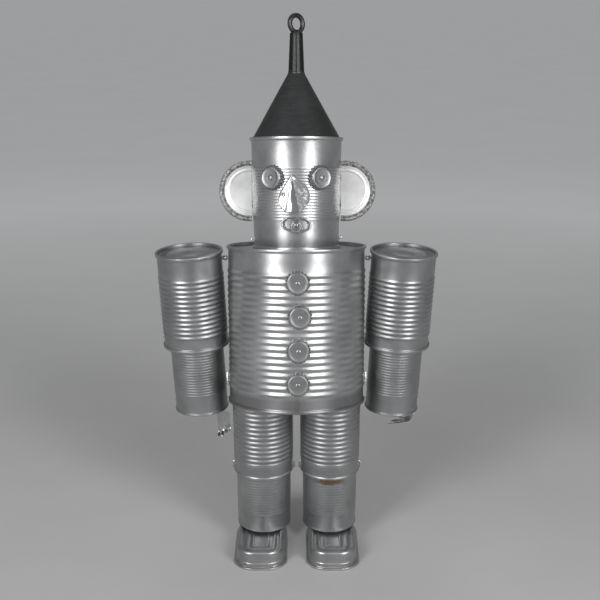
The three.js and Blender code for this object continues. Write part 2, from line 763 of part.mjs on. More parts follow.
// A hand hung on the pin through a hole, curled in under the forearm, its end slit into fingers.
function curledHand() {
  const half = handSheet / 2;
  const line = [
    [curledHandReach, 4],
    [curledHandReach, -curledHandDrop],
    [curledHandReach - 4, -curledHandDrop - 8],
    [curledHandReach - 0.7 * curledHandLength, -curledHandDepth + 2.5],
    [curledHandReach - curledHandLength, -curledHandDepth],
  ].map(([x, z]) => new THREE.Vector2(x, z));
  const normals = line.map((point, i) => {
    const before = line[Math.max(i - 1, 0)];
    const after = line[Math.min(i + 1, line.length - 1)];
    const along = after.clone().sub(before).normalize();
    return new THREE.Vector2(-along.y, along.x).multiplyScalar(half);
  });
  const outer = line.map((point, i) => point.clone().add(normals[i]));
  const inner = line.map((point, i) => point.clone().sub(normals[i])).reverse();
  const ribbon = new THREE.ExtrudeGeometry(new THREE.Shape([...outer, ...inner]), {
    depth: handPalmWidth,
    bevelEnabled: false,
  }).translate(0, 0, -handPalmWidth / 2).rotateX(Math.PI / 2);
  const shoulderWidth = (handPalmWidth - handNeckWidth) / 2;
  const trimY = handPalmWidth / 2 + 1 - shoulderWidth / 2;
  const trims = [-1, 1].map((edge) =>
    box(12, shoulderWidth + 2, curledHandDrop + 12)
      .translate(curledHandReach, edge * trimY, -curledHandDrop / 2 + 6));
  const slits = [];
  for (let i = 1; i < handFingers; i += 1) {
    const y = -handPalmWidth / 2 + i * handPalmWidth / handFingers;
    slits.push(box(0.62 * curledHandLength, handFingerGap, 20)
      .translate(curledHandReach - curledHandLength + 0.3 * curledHandLength, y, -curledHandDepth));
  }
  const pinHole = rodX(holeRadius(pinRadius), 12, holeSides).translate(curledHandReach, 0, 0);
  return cut(ribbon, ...trims, ...slits, pinHole);
}

// ---------------------------------------------------------------- legs, standing on z = 0
function legPieces(side, letter) {
  const group = new THREE.Group();
  const hipHole = rodX(holeRadius(hipRodRadius), 4 * thighRadius, holeSides).translate(0, 0, hipHeight);
  const kneeHole = rodX(holeRadius(pinRadius), 4 * thighRadius, holeSides).translate(0, 0, kneeHeight);
  const thigh = can({
    bottomRadius: thighRadius,
    topRadius: thighRadius,
    height: thighHeight,
    closedEnd: 'top',
    columns: limbColumns,
    ring: 0,
    openSeam: thighFlare,
  }).translate(0, 0, hipHeight + thighAboveHip - thighHeight);
  group.add(piece(`upper_leg_can_${letter}`, cut(thigh, hipHole, kneeHole), silverPaint));
  const shinBottom = footHeight + gap;
  const boltHole = rodZ(holeRadius(boltRadius), 4 * footHeight, holeSides);
  const shin = can({
    bottomRadius: shinRadius,
    topRadius: shinRadius,
    height: shinHeight,
    closedEnd: 'bottom',
    columns: limbColumns,
    ring: 0,
    openSeam: shinFlare,
    endSeam: shinFlare,
  }).translate(0, 0, shinBottom);
  group.add(piece(`lower_leg_can_${letter}`, cut(shin, kneeHole, boltHole), silverPaint));
  group.add(piece(`knee_pin_${letter}`, kneePin().translate(0, 0, kneeHeight), bareSteel));
  const foot = piece(`foot_tin_${letter}`, cut(footTin(side * footOut), boltHole), silverPaint);
  group.add(foot);
  group.add(...footBolt(letter));
  return group;
}

function kneePin() {
  const out = thighRadius + gap + pinRadius + 0.9;
  return wire([
    vec(-out, 0, -kneePinHook),
    vec(-out, 0, 0),
    vec(out, 0, 0),
    vec(out, 0, -kneePinHook),
  ], pinRadius, 1.6);
}

// A rectangle with round corners, drawn in by inset, at one of evenly shared columns.
function roundedPoint(column, inset) {
  const halfX = footWidth / 2 - inset;
  const halfY = footLength / 2 - inset;
  const corner = Math.max(footCorner - inset, 1);
  const perCorner = limbColumns / 4;
  const quarter = Math.floor(column / perCorner) % 4;
  const turn = (Math.PI / 2) * (quarter + (column % perCorner) / (perCorner - 1));
  const signX = quarter === 0 || quarter === 3 ? 1 : -1;
  const signY = quarter < 2 ? 1 : -1;
  return [
    signX * (halfX - corner) + corner * Math.cos(turn),
    signY * (halfY - corner) + corner * Math.sin(turn),
  ];
}

// A shallow tin turned over: open below with a flange, its pressed end uppermost.
function footTin(shiftX) {
  const panel = footHeight - footPanelDrop;
  const profile = [
    [Infinity, panel],
    [footPanelInset + footPanelDrop, panel],
    [footPanelInset, footHeight],
    [footFlange + footTaper, footHeight],
    [footFlange, footFlangeHeight + 1],
    [0, footFlangeHeight],
    [0, 0],
    [footFlange + footSheet, 0],
    [footFlange + footTaper + footSheet, footHeight - footSheet],
    [footPanelInset - footSheet / 2, footHeight - footSheet],
    [footPanelInset + footPanelDrop - footSheet / 2, panel - footSheet],
    [Infinity, panel - footSheet],
  ];
  const points = profile.map(([inset, z]) => new THREE.Vector2(inset === Infinity ? 0 : 100 - inset, z));
  const geometry = new THREE.LatheGeometry(points, limbColumns).rotateX(Math.PI / 2);
  const position = geometry.attributes.position;
  for (let i = 0; i < position.count; i += 1) {
    const inset = profile[i % profile.length][0];
    const column = Math.floor(i / profile.length) % limbColumns;
    const [x, y] = inset === Infinity ? [0, 0] : roundedPoint(column, inset);
    position.setX(i, x);
    position.setY(i, y);
  }
  return geometry.translate(shiftX, footLength / 2 - footToe, 0);
}

// The bolt that ties foot and lower leg together, its head inside the foot.
function footBolt(letter) {
  const panel = footHeight - footPanelDrop;
  const headTopZ = panel - footSheet - gap;
  const nutBottom = footHeight + gap + endDepth + sheet + gap;
  const shankTop = nutBottom + boltHeadHeight + 2;
  const head = rodZ(boltHeadRadius, boltHeadHeight, 6).translate(0, 0, headTopZ - boltHeadHeight / 2);
  const shankBottom = headTopZ - boltHeadHeight / 2;
  const shank = rodZ(boltRadius, shankTop - shankBottom, holeSides)
    .translate(0, 0, (shankTop + shankBottom) / 2);
  const nut = cut(rodZ(boltHeadRadius, boltHeadHeight, 6), rodZ(holeRadius(boltRadius), 20, holeSides))
    .translate(0, 0, nutBottom + boltHeadHeight / 2);
  return [
    piece(`foot_bolt_${letter}`, join(head, shank), darkSteel),
    piece(`foot_nut_${letter}`, nut, darkSteel),
  ];
}

// ---------------------------------------------------------------- the figure
const figure = new THREE.Group();
const trunk = new THREE.Group();
trunk.add(torsoPieces(), headPieces());
trunk.position.z = hipHeight;
trunk.rotation.x = -radians(lean);
figure.add(trunk);
for (const [side, letter] of sides) {
  const arm = armPieces(side, letter);
  const leanY = shoulderHeight * Math.sin(radians(lean));
  const leanZ = shoulderHeight * Math.cos(radians(lean));
  arm.position.set(side * armX, leanY, hipHeight + leanZ);
  arm.rotation.y = side * radians(armSplay);
  const leg = legPieces(side, letter);
  leg.position.x = side * legX;
  figure.add(arm, leg);
}

// The origin is the middle of the figure's outline, on the table.
figure.updateMatrixWorld(true);
const outline = new THREE.Box3().setFromObject(figure, true);
const middle = outline.getCenter(vec(0, 0, 0));
figure.position.set(-middle.x, -middle.y, -outline.min.z);

export default figure;
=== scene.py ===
"""A jointed figure made of tin cans: its looks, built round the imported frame."""
import json
import math

import bmesh
import bpy
from mathutils import Matrix, Vector, noise


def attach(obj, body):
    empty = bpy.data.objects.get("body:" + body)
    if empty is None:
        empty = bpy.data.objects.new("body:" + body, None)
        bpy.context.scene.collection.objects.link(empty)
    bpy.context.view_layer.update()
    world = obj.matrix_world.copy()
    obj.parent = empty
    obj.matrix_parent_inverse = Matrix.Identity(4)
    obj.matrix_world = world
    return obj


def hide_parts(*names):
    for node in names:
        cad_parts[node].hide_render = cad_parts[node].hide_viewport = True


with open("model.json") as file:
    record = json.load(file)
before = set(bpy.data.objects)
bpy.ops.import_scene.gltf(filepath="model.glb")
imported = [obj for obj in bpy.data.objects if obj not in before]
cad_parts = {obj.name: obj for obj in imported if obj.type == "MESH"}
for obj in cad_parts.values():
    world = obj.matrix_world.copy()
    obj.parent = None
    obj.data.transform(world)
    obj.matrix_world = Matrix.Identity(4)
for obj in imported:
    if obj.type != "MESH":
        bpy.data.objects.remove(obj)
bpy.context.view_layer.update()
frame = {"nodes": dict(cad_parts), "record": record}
RECORD = frame["record"]
JOINTS = {joint["name"]: joint for joint in RECORD["behaviour"]["joints"]}
BODY_OF = {node: body for body, nodes in RECORD["behaviour"]["bodies"].items() for node in nodes}
NODES = frame["nodes"]
MM = 0.001
TAU = 2 * math.pi
SIDES = {"l": -1, "r": 1}
SPOUT_HEIGHT = 41.4
# The torso's lower band is painted darker, as painted shade.
SHADED_LOW_BAND = 161.3          # from the top of the trunk to its darker lower band


# ---------------------------------------------------------------- frames of the trunk, arms and legs
def joint_point(name):
    return Vector(JOINTS[name]["pos_m"])


HIP = joint_point("hip_r")
SHOULDER = joint_point("shoulder_r")
LEAN = math.atan2(SHOULDER.y - HIP.y, SHOULDER.z - HIP.z)
TRUNK = Matrix.Translation((0, HIP.y, HIP.z)) @ Matrix.Rotation(-LEAN, 4, "X")


def arm_frame(letter):
    """Origin at the elbow pin, X along it, Z up the arm."""
    axis = Vector(JOINTS["elbow_" + letter]["axis"])
    across = -axis
    up = across.cross(Vector((0, 1, 0)))
    turn = Matrix((across, Vector((0, 1, 0)), up)).transposed().to_4x4()
    return Matrix.Translation(joint_point("elbow_" + letter)) @ turn


def leg_frame(letter):
    knee = joint_point("knee_" + letter)
    return Matrix.Translation((knee.x, knee.y, 0))


def span(node, place):
    """Lowest and highest corner of a CAD node in a frame of its own, in millimetres."""
    back = place.inverted()
    points = [back @ vertex.co for vertex in NODES[node].data.vertices]
    low = [min(p[i] for p in points) / MM for i in range(3)]
    high = [max(p[i] for p in points) / MM for i in range(3)]
    return Vector(low), Vector(high)


# ---------------------------------------------------------------- node materials
class Nodes:
    """A short way to write a node tree."""

    def __init__(self, name):
        self.material = bpy.data.materials.new(name)
        self.material.use_nodes = True
        self.tree = self.material.node_tree
        self.tree.nodes.clear()
        self.shader = self.add("ShaderNodeBsdfPrincipled")
        output = self.add("ShaderNodeOutputMaterial")
        self.link(self.shader.outputs[0], output.inputs["Surface"])
        self.coord = self.add("ShaderNodeTexCoord").outputs["Object"]

    def add(self, kind, **settings):
        node = self.tree.nodes.new(kind)
        for key, value in settings.items():
            setattr(node, key, value)
        return node

    def link(self, source, target):
        self.tree.links.new(source, target)

    def feed(self, target, value):
        if isinstance(value, bpy.types.NodeSocket):
            self.link(value, target)
        else:
            target.default_value = value

    def noise(self, scale, detail=4.0, roughness=0.6, stretch=(1, 1, 1), distortion=0.0):
        mapping = self.add("ShaderNodeMapping")
        mapping.inputs["Scale"].default_value = stretch
        self.link(self.coord, mapping.inputs["Vector"])
        node = self.add("ShaderNodeTexNoise")
        self.link(mapping.outputs[0], node.inputs["Vector"])
        node.inputs["Scale"].default_value = scale
        node.inputs["Detail"].default_value = detail
        node.inputs["Roughness"].default_value = roughness
        node.inputs["Distortion"].default_value = distortion
        return node.outputs["Fac"]

    def ramp(self, value, low, high, start=0.0, end=1.0):
        node = self.add("ShaderNodeMapRange", clamp=True)
        self.feed(node.inputs["Value"], value)
        node.inputs["From Min"].default_value = low
        node.inputs["From Max"].default_value = high
        node.inputs["To Min"].default_value = start
        node.inputs["To Max"].default_value = end
        return node.outputs[0]

    def math(self, operation, a, b=0.0, c=0.0):
        node = self.add("ShaderNodeMath", operation=operation)
        for socket, value in zip(node.inputs, (a, b, c)):
            self.feed(socket, value)
        return node.outputs[0]

    def mix(self, factor, a, b):
        node = self.add("ShaderNodeMix", data_type="RGBA")
        self.feed(node.inputs[0], factor)
        for socket, value in ((node.inputs[6], a), (node.inputs[7], b)):
            self.feed(socket, (*value, 1) if isinstance(value, tuple) else value)
        return node.outputs[2]

    def bump(self, height, strength, distance, base=None):
        node = self.add("ShaderNodeBump")
        node.inputs["Strength"].default_value = strength
        node.inputs["Distance"].default_value = distance
        self.feed(node.inputs["Height"], height)
        if base is not None:
            self.link(base, node.inputs["Normal"])
        return node.outputs[0]

    def axes(self):
        node = self.add("ShaderNodeSeparateXYZ")
        self.link(self.coord, node.inputs[0])
        return node.outputs

    def pointiness(self):
        return self.add("ShaderNodeNewGeometry").outputs["Pointiness"]


def silver(name, tone, roughness, metallic=0.90, stain=None, edge_wear_and_highlight=0.45):
    """Silver spray paint: a fine grain, cloudy gloss, scuffs and painted highlight on the edges, painted
    shade in the creases, runs and pinholes.
    """
    n = Nodes(name)
    cloud = n.noise(26, 5, 0.6)
    patch = n.noise(9, 3, 0.5, distortion=0.6)
    grain = n.noise(2600, 2, 0.5)
    fleck = n.noise(900, 2, 0.6)
    streak = n.noise(60, 4, 0.6, stretch=(1, 1, 0.12))
    light = tuple(c * 1.12 for c in tone)
    dark = tuple(c * 0.80 for c in tone)
    color = n.mix(n.ramp(cloud, 0.34, 0.68), dark, light)
    color = n.mix(n.ramp(streak, 0.60, 0.80, 0, 0.35), color, tuple(c * 0.62 for c in tone))
    color = n.mix(n.ramp(fleck, 0.70, 0.78, 0, 0.45), color, tuple(c * 0.5 for c in tone))
    # Convex edges and rims are painted lighter: partly scuffed paint, partly painted highlight.
    edge = n.ramp(n.pointiness(), 0.53, 0.62)
    color = n.mix(n.math("MULTIPLY", edge, edge_wear_and_highlight), color, (0.85, 0.85, 0.84))
    # Hollows and creases are painted darker: painted shade.
    painted_crease_shade = n.ramp(n.pointiness(), 0.47, 0.40)
    color = n.mix(n.math("MULTIPLY", painted_crease_shade, 0.5), color, tuple(c * 0.35 for c in tone))
    if stain:
        color = stain(n, color)
    rough = n.math("ADD", n.ramp(patch, 0.3, 0.75, roughness - 0.06, roughness + 0.10),
                   n.ramp(fleck, 0.62, 0.8, 0.0, 0.16))
    n.feed(n.shader.inputs["Base Color"], color)
    n.feed(n.shader.inputs["Roughness"], rough)
    n.shader.inputs["Metallic"].default_value = metallic
    soft = n.bump(n.noise(30, 2, 0.4), 0.06, 0.0016)
    peel = n.bump(n.noise(420, 3, 0.55), 0.10, 0.00022, soft)
    n.link(n.bump(grain, 0.16, 0.00007, peel), n.shader.inputs["Normal"])
    return n.material


def rust_band(n, color):
    """Bare rusty tin where the knee's rim has rubbed the paint off the front of one lower leg."""
    x, y, z = n.axes()
    edge = n.noise(110, 5, 0.65)
    front = n.ramp(y, -0.020, -0.026)
    sag = n.noise(45, 3, 0.6)
    low = n.ramp(n.math("ADD", n.math("ADD", z, n.math("MULTIPLY", edge, 0.008)), n.math("MULTIPLY", sag,
            0.010)),
                 0.0925, 0.0945)
    side = n.math("MULTIPLY", n.ramp(x, -0.022, -0.010), n.ramp(x, 0.019, 0.010))
    worn = n.math("MULTIPLY", n.math("MULTIPLY", front, low), side)
    brown = n.mix(n.ramp(n.noise(300, 4, 0.7), 0.35, 0.7), (0.09, 0.045, 0.015), (0.30, 0.20, 0.09))
    return n.mix(n.math("MULTIPLY", worn, 0.85), color, brown)


def lid_rim(n, color):
    """The cut and crumpled rim of a can's lid: greyer than its panel, with painted shade in its creases and
    in a groove.
    """
    x, _, z = n.axes()
    reach = n.math("SQRT", n.math("ADD", n.math("MULTIPLY", x, x), n.math("MULTIPLY", z, z)))
    rim = n.ramp(reach, 0.0270, 0.0278)
    # Dark crease marks on the rim: painted shade.
    painted_crease_shade = n.ramp(n.noise(330, 3, 0.6), 0.45, 0.58)
    grey = n.mix(painted_crease_shade, (0.40, 0.40, 0.40), (0.16, 0.16, 0.16))
    # A darker ring in the groove inside the rim: painted shade.
    painted_groove_shade = n.math("MULTIPLY", n.ramp(reach, 0.0206, 0.0211), n.ramp(reach, 0.0222, 0.0217))
    color = n.mix(n.math("MULTIPLY", painted_groove_shade, 0.35), color, (0.30, 0.30, 0.30))
    return n.mix(rim, color, grey)


def button_stain_and_low_shade(n, color):
    """A faint brown run down the torso's front under the buttons, and painted shade on the torso's plain
    lower band.
    """
    x, y, z = n.axes()
    wide = n.ramp(n.math("ABSOLUTE", n.math("SUBTRACT", x, 0.002)), 0.010, 0.001)
    front = n.ramp(y, -0.06, -0.07)
    low = n.ramp(z, 0.030, -0.012)
    patch = n.ramp(n.noise(120, 4, 0.7), 0.42, 0.62)
    worn = n.math("MULTIPLY", n.math("MULTIPLY", wide, front), n.math("MULTIPLY", low, patch))
    # The plain band below the ribs is painted darker: painted shade.
    foot = (span("torso_can", TRUNK)[1].z - SHADED_LOW_BAND) * MM
    color = n.mix(n.ramp(z, foot + 0.003, foot - 0.003, 0, 0.8), color, (0.22, 0.22, 0.225))
    return n.mix(n.math("MULTIPLY", worn, 0.5), color, (0.20, 0.13, 0.07))


def steel(name, tone, roughness, spots):
    """Bare or blackened steel: drawing marks, dull spots and small pits."""
    n = Nodes(name)
    cloud = n.noise(160, 4, 0.6)
    spot = n.noise(420, 3, 0.6)
    drawn = n.noise(900, 2, 0.5, stretch=(0.15, 1, 1))
    color = n.mix(n.ramp(cloud, 0.35, 0.7), tuple(c * 0.78 for c in tone), tuple(min(1,
            c * 1.15) for c in tone))
    color = n.mix(n.ramp(spot, 0.58, 0.74, 0, spots), color, tuple(c * 0.35 for c in tone))
    n.feed(n.shader.inputs["Base Color"], color)
    n.feed(n.shader.inputs["Roughness"], n.ramp(spot, 0.35, 0.75, roughness - 0.05, roughness + 0.14))
    n.shader.inputs["Metallic"].default_value = 1.0
    n.link(n.bump(drawn, 0.15, 0.0001), n.shader.inputs["Normal"])
    return n.material


def funnel_metal():
    """Dark satin sheet steel, brushed round the cone, and blacker on the spout."""
    n = Nodes("funnel_metal")
    spout = (span("funnel_hat", TRUNK)[1].z - SPOUT_HEIGHT) * MM * math.cos(LEAN)
    tone = (0.085, 0.086, 0.088)
    cloud = n.noise(22, 4, 0.6)
    brushed = n.noise(70, 4, 0.6, stretch=(1, 1, 9))
    speck = n.noise(700, 2, 0.5)
    color = n.mix(n.ramp(cloud, 0.3, 0.7), tuple(c * 0.8 for c in tone), tuple(c * 1.2 for c in tone))
    color = n.mix(n.ramp(brushed, 0.45, 0.75, 0, 0.35), color, tuple(c * 1.5 for c in tone))
    color = n.mix(n.ramp(speck, 0.68, 0.78, 0, 0.5), color, tuple(c * 0.5 for c in tone))
    color = n.mix(n.ramp(n.axes()[2], spout, spout + 0.004), color, tuple(c * 0.4 for c in tone))
    # Rims and edges are painted lighter: partly scuffed metal, partly painted highlight.
    edge = n.ramp(n.pointiness(), 0.53, 0.62)
    color = n.mix(n.math("MULTIPLY", edge, 0.4), color, (0.30, 0.30, 0.31))
    n.feed(n.shader.inputs["Base Color"], color)
    n.feed(n.shader.inputs["Roughness"], n.ramp(brushed, 0.3, 0.8, 0.34, 0.46))
    n.shader.inputs["Metallic"].default_value = 0.85
    grain = n.bump(n.noise(1500, 2, 0.5), 0.10, 0.00006)
    n.link(n.bump(brushed, 0.05, 0.0003, grain), n.shader.inputs["Normal"])
    return n.material


SILVER = silver("silver_paint", (0.44, 0.445, 0.45), 0.32)
TORSO = silver("silver_torso", (0.44, 0.445, 0.45), 0.33, stain=button_stain_and_low_shade)
# The arm and leg copies of the silver paint are darker in tone: painted shade, as these parts catch less of
# the lamps' light.
ARM_SHADED = silver("silver_arm_shaded", (0.335, 0.34, 0.345), 0.38)
LEG_SHADED = silver("silver_leg_shaded", (0.355, 0.36, 0.365), 0.42)
WORN_LEG_SHADED = silver("silver_worn_leg_shaded", (0.355, 0.36, 0.365), 0.42, stain=rust_band)
LID = silver("silver_lid", (0.80, 0.80, 0.80), 0.38, metallic=0.35, stain=lid_rim)
CAP = silver("silver_cap", (0.36, 0.365, 0.37), 0.36)
TRIM = silver("silver_trim", (0.50, 0.505, 0.51), 0.28)
FOOT = silver("silver_foot", (0.40, 0.405, 0.41), 0.35, edge_wear_and_highlight=0.9)
RIVET = steel("rivet_steel", (0.46, 0.46, 0.46), 0.34, 0.6)
FUNNEL = funnel_metal()
BARE = steel("bare_steel", (0.74, 0.74, 0.74), 0.28, 0.25)
DARK = steel("dark_steel", (0.09, 0.09, 0.095), 0.36, 0.4)


# ---------------------------------------------------------------- mesh building
def add_piece(name, shape, place, material, slot, *nodes, sharp=32, body=None):
    """A new piece from points and faces in millimetres; it stands for the CAD nodes named."""
    points, faces = shape
    mesh = bpy.data.meshes.new(name)
    mesh.from_pydata([Vector(p) * MM for p in points], [], faces)
    mesh.validate()
    mesh.update()
    piece = bpy.data.objects.new(name, mesh)
    bpy.context.scene.collection.objects.link(piece)
    piece.matrix_world = place
    mesh.materials.append(material)
    finish_mesh(piece, sharp)
    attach(piece, body or BODY_OF[nodes[0]])
    if nodes:
        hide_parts(*nodes)
    return piece


def finish_mesh(piece, sharp):
    work = bmesh.new()
    work.from_mesh(piece.data)
    bmesh.ops.remove_doubles(work, verts=work.verts, dist=1e-7)
    bmesh.ops.recalc_face_normals(work, faces=work.faces)
    work.to_mesh(piece.data)
    work.free()
    piece.data.shade_smooth()
    piece.data.set_sharp_from_angle(angle=math.radians(sharp))


def modify(piece, kind, **settings):
    """Adds a modifier and applies it at once."""
    modifier = piece.modifiers.new(kind.lower(), kind)
    for key, value in settings.items():
        setattr(modifier, key, value)
    graph = bpy.context.evaluated_depsgraph_get()
    mesh = bpy.data.meshes.new_from_object(piece.evaluated_get(graph))
    piece.modifiers.clear()
    old = piece.data
    piece.data = mesh
    bpy.data.meshes.remove(old)
    return piece


def even(columns):
    return [TAU * i / columns for i in range(columns)]


def with_seam(columns, middle, half):
    """Column angles, closer together where a raised seam runs up the wall."""
    extra = [middle + half * t for t in (-1.6, -1.0, -0.7, 0.0, 0.7, 1.0, 1.6)]
    kept = [a for a in even(columns) if abs((a - middle + math.pi) % TAU - math.pi) > 2.2 * half]
    return sorted(a % TAU for a in kept + extra)


def lathe(profile, angles, warp=None):
    """Turns a closed profile of (radius, height) round Z. A radius of 0 is a single point."""
    points, rings, faces = [], [], []
    for radius, height in profile:
        if radius < 1e-9:
            rings.append([len(points)] * len(angles))
            points.append(Vector((0, 0, height)))
        else:
            rings.append(list(range(len(points), len(points) + len(angles))))
            for a in angles:
                reach = radius + (warp(a, height, radius) if warp else 0)
                points.append(Vector((reach * math.sin(a), -reach * math.cos(a), height)))
    count = len(angles)
    closes = profile[0][0] > 1e-9
    for k in range(len(rings) if closes else len(rings) - 1):
        here, after = rings[k], rings[(k + 1) % len(rings)]
        for i in range(count):
            j = (i + 1) % count
            face = [here[i], here[j], after[j], after[i]]
            faces.append([v for t, v in enumerate(face) if v != face[t - 1]])
    return points, [f for f in faces if len(f) > 2]


def join(*shapes):
    points, faces = [], []
    for shape_points, shape_faces in shapes:
        shift = len(points)
        points += shape_points
        faces += [[v + shift for v in face] for face in shape_faces]
    return points, faces


def moved(shape, matrix):
    return [matrix @ Vector(p) for p in shape[0]], shape[1]


def squared(shape, place):
    """The same shape with its frame's turn put into its points, so that its box lies square."""
    turn = place.to_3x3().to_4x4()
    return moved(shape, turn), Matrix.Translation(place.translation)


def smooth_line(corners, bend, steps=8):
    """The corners joined by straight runs, each corner rounded."""
    line = [corners[0]]
    for before, corner, after in zip(corners, corners[1:], corners[2:]):
        start = corner + (before - corner).normalized() * bend
        end = corner + (after - corner).normalized() * bend
        for i in range(steps + 1):
            t = i / steps
            line.append((1 - t) ** 2 * start + 2 * t * (1 - t) * corner + t ** 2 * end)
    return line + [corners[-1]]


def tube(line, radius, around=16):
    """A round rod along a line, its ends slightly rounded."""
    points, faces = [], []
    side = None
    count = len(line)
    for i, point in enumerate(line):
        along = (line[min(i + 1, count - 1)] - line[max(i - 1, 0)]).normalized()
        if side is None:
            side = along.orthogonal().normalized()
        side = (side - along * side.dot(along)).normalized()
        other = along.cross(side)
        rows = [(0.0, radius)]
        if i == 0:
            rows = [(0.0, radius * 0.72), (radius * 0.28, radius)]
        if i == count - 1:
            rows = [(-radius * 0.28, radius), (0.0, radius * 0.72)]
        for shift, r in rows:
            for k in range(around):
                a = TAU * k / around
                points.append(point + along * shift + (side * math.cos(a) + other * math.sin(a)) * r)
    rings = len(points) // around
    for k in range(rings - 1):
        for i in range(around):
            j = (i + 1) % around
            faces.append([k * around + i, k * around + j, (k + 1) * around + j, (k + 1) * around + i])
    faces.append(list(range(around))[::-1])
    faces.append([(rings - 1) * around + i for i in range(around)])
    return points, faces


def ring_tube(line, rx, ry, around=12):
    """A closed rolled edge along a flat loop; rx is its half width in the plane, ry out of it."""
    points, faces = [], []
    count = len(line)
    for i, p in enumerate(line):
        along = (line[(i + 1) % count] - line[i - 1]).normalized()
        side = Vector((along.y, -along.x, 0))
        for k in range(around):
            a = TAU * k / around
            points.append(p + side * rx * math.cos(a) + Vector((0, 0, ry * math.sin(a))))
    for i in range(count):
        n = (i + 1) % count
        for k in range(around):
            m = (k + 1) % around
            faces.append([i * around + k, i * around + m, n * around + m, n * around + k])
    return points, faces


# ---------------------------------------------------------------- cans
SHEET = 0.35
HEAD_TAPER = 2.7          # how much smaller the radius of the head's lower end is
SEAM_SWELL = 0.16         # how far a side seam stands out
HAND_SHEET = 0.45
SEAM_OUT, SEAM_IN, SEAM_HEIGHT, END_DEPTH = 1.7, 1.2, 3.2, 3.6
LID_STEPS = [(0.0, 0.35), (0.30, 0.35), (0.335, 0.0), (0.40, 0.0), (0.435, 0.35), (0.66, 0.35),
             (0.69, 0.75), (0.725, 0.75), (0.755, 0.1), (0.86, 0.1), (0.89, -0.45), (0.955, -0.45)]


def rim_over(radius, inside, out, top):
    """A rolled rim, from the inside over the top and down to the wall."""
    seam = SEAM_HEIGHT if out > 1.2 else 2.2
    return [
        (inside, top - 0.9), (inside + 0.12, top - 0.35), (inside + 0.45, top - 0.05),
        (radius + out - 0.55, top), (radius + out - 0.12, top - 0.22), (radius + out, top - 0.65),
        (radius + out, top - seam + 0.55), (radius + out - 0.25, top - seam + 0.1),
        (radius + 0.25, top - seam - 0.3), (radius, top - seam - 0.9),
    ]


def lid_panel(chuck):
    """The end panel from its middle out to the wall of the seam."""
    panel = -END_DEPTH
    return [(chuck * r, panel + h) for r, h in LID_STEPS] + [(chuck - 0.05, panel + 0.15)]


def ribbed(low, high, base, ribs):
    """Wall points from high to low: base(z) is the plain radius, ribs are (first, last, pitch, swell)."""
    first, last, pitch, swell = ribs
    top, bottom = first + pitch / 2, last - pitch / 2
    heights = [high, (high + top) / 2] if high - top > 2 else [high]
    steps = int(round((top - bottom) / pitch)) * 8
    heights += [top + (bottom - top) * i / steps for i in range(steps + 1)]
    heights += [(bottom + low) / 2, low] if bottom - low > 2 else [low]
    wall = []
    for z in heights:
        inside = bottom - 1e-6 <= z <= top + 1e-6
        wave = 0.5 - 0.5 * math.cos(TAU * (top - z) / pitch) if inside else 0.0
        wall.append((base(z) + swell * wave, z))
    return wall


def can_shape(low, high, top_radius, bottom_radius, ribs, columns, top="rim", bottom="rim",
              top_out=SEAM_OUT, bottom_out=SEAM_OUT, dent=0.25, seed=0.0, seam_at=math.pi):
    """A thin-walled can. Each end is a lid (closed, recessed) or a rim (open)."""
    def base(z):
        return bottom_radius + (top_radius - bottom_radius) * (z - low) / (high - low)

    def end(side, radius, out, level, kind):
        inside = radius - (SEAM_IN if kind == "lid" else SHEET)
        points = rim_over(radius, inside, out, 0.0)
        if kind == "lid":
            points = lid_panel(radius - SEAM_IN) + points
        return [(r, level + side * z) for r, z in points]

    upper = end(1, top_radius, top_out, high, top)
    lower = end(-1, bottom_radius, bottom_out, low, bottom)
    wall = ribbed(lower[-1][1] + 0.4, upper[-1][1] - 0.4, base, ribs)
    outer = upper + wall + lower[::-1]
    inner_top = high - END_DEPTH - SHEET if top == "lid" else high - 0.9
    inner_low = low + END_DEPTH + SHEET if bottom == "lid" else low + 0.9
    inner = [(r - SHEET, z) for r, z in wall if inner_low + 1 < z < inner_top - 1][::-1]
    if bottom == "lid":
        panel = lid_panel(bottom_radius - SEAM_IN)
        inner = [(r, low - z + SHEET) for r, z in panel] + inner
    if top == "lid":
        panel = lid_panel(top_radius - SEAM_IN)
        inner = inner + [(r, high + z - SHEET) for r, z in panel][::-1]
    profile = outer + inner
    if bottom == "lid" and top != "lid":
        profile = profile[len(profile) - len(inner):] + outer
    seam_half = 1.6 / top_radius

    def warp(a, z, r):
        if r < top_radius * 0.8:
            return 0.0
        edge = min(1.0, max(0.0, min(z - low - 6, high - 6 - z) / 14))
        spot = Vector((1.5 * math.cos(a), 1.5 * math.sin(a), z * 0.02 + seed))
        lump = noise.noise(spot) * dent * edge
        off = abs((a - seam_at + math.pi) % TAU - math.pi) / seam_half
        return lump + (SEAM_SWELL * min(1.0, edge * 4) if off < 1.05 else 0.0)

    return lathe(profile, with_seam(columns, seam_at, seam_half), warp)


def torso_can():
    low, high = span("torso_can", TRUNK)
    radius = high.x - SEAM_OUT
    ribs = (high.z - 27.8, high.z - 157.7, 7.2, 1.0)
    shape = can_shape(low.z, high.z, radius, radius, ribs, 128, top="lid", dent=0.5, seed=3.1)
    add_piece("torso_shell", shape, TRUNK, TORSO, "silver_paint", "torso_can")


def head_can():
    low, high = span("head_can", TRUNK)
    top = high.x - SEAM_OUT
    bottom = top - HEAD_TAPER
    ribs = (high.z - 33.2, high.z - 87.6, 3.2, 0.20)
    shape = can_shape(low.z, high.z, top, bottom, ribs, 112, bottom="lid", dent=0.35, seed=7.7)
    add_piece("head_shell", shape, TRUNK, SILVER, "silver_paint", "head_can")


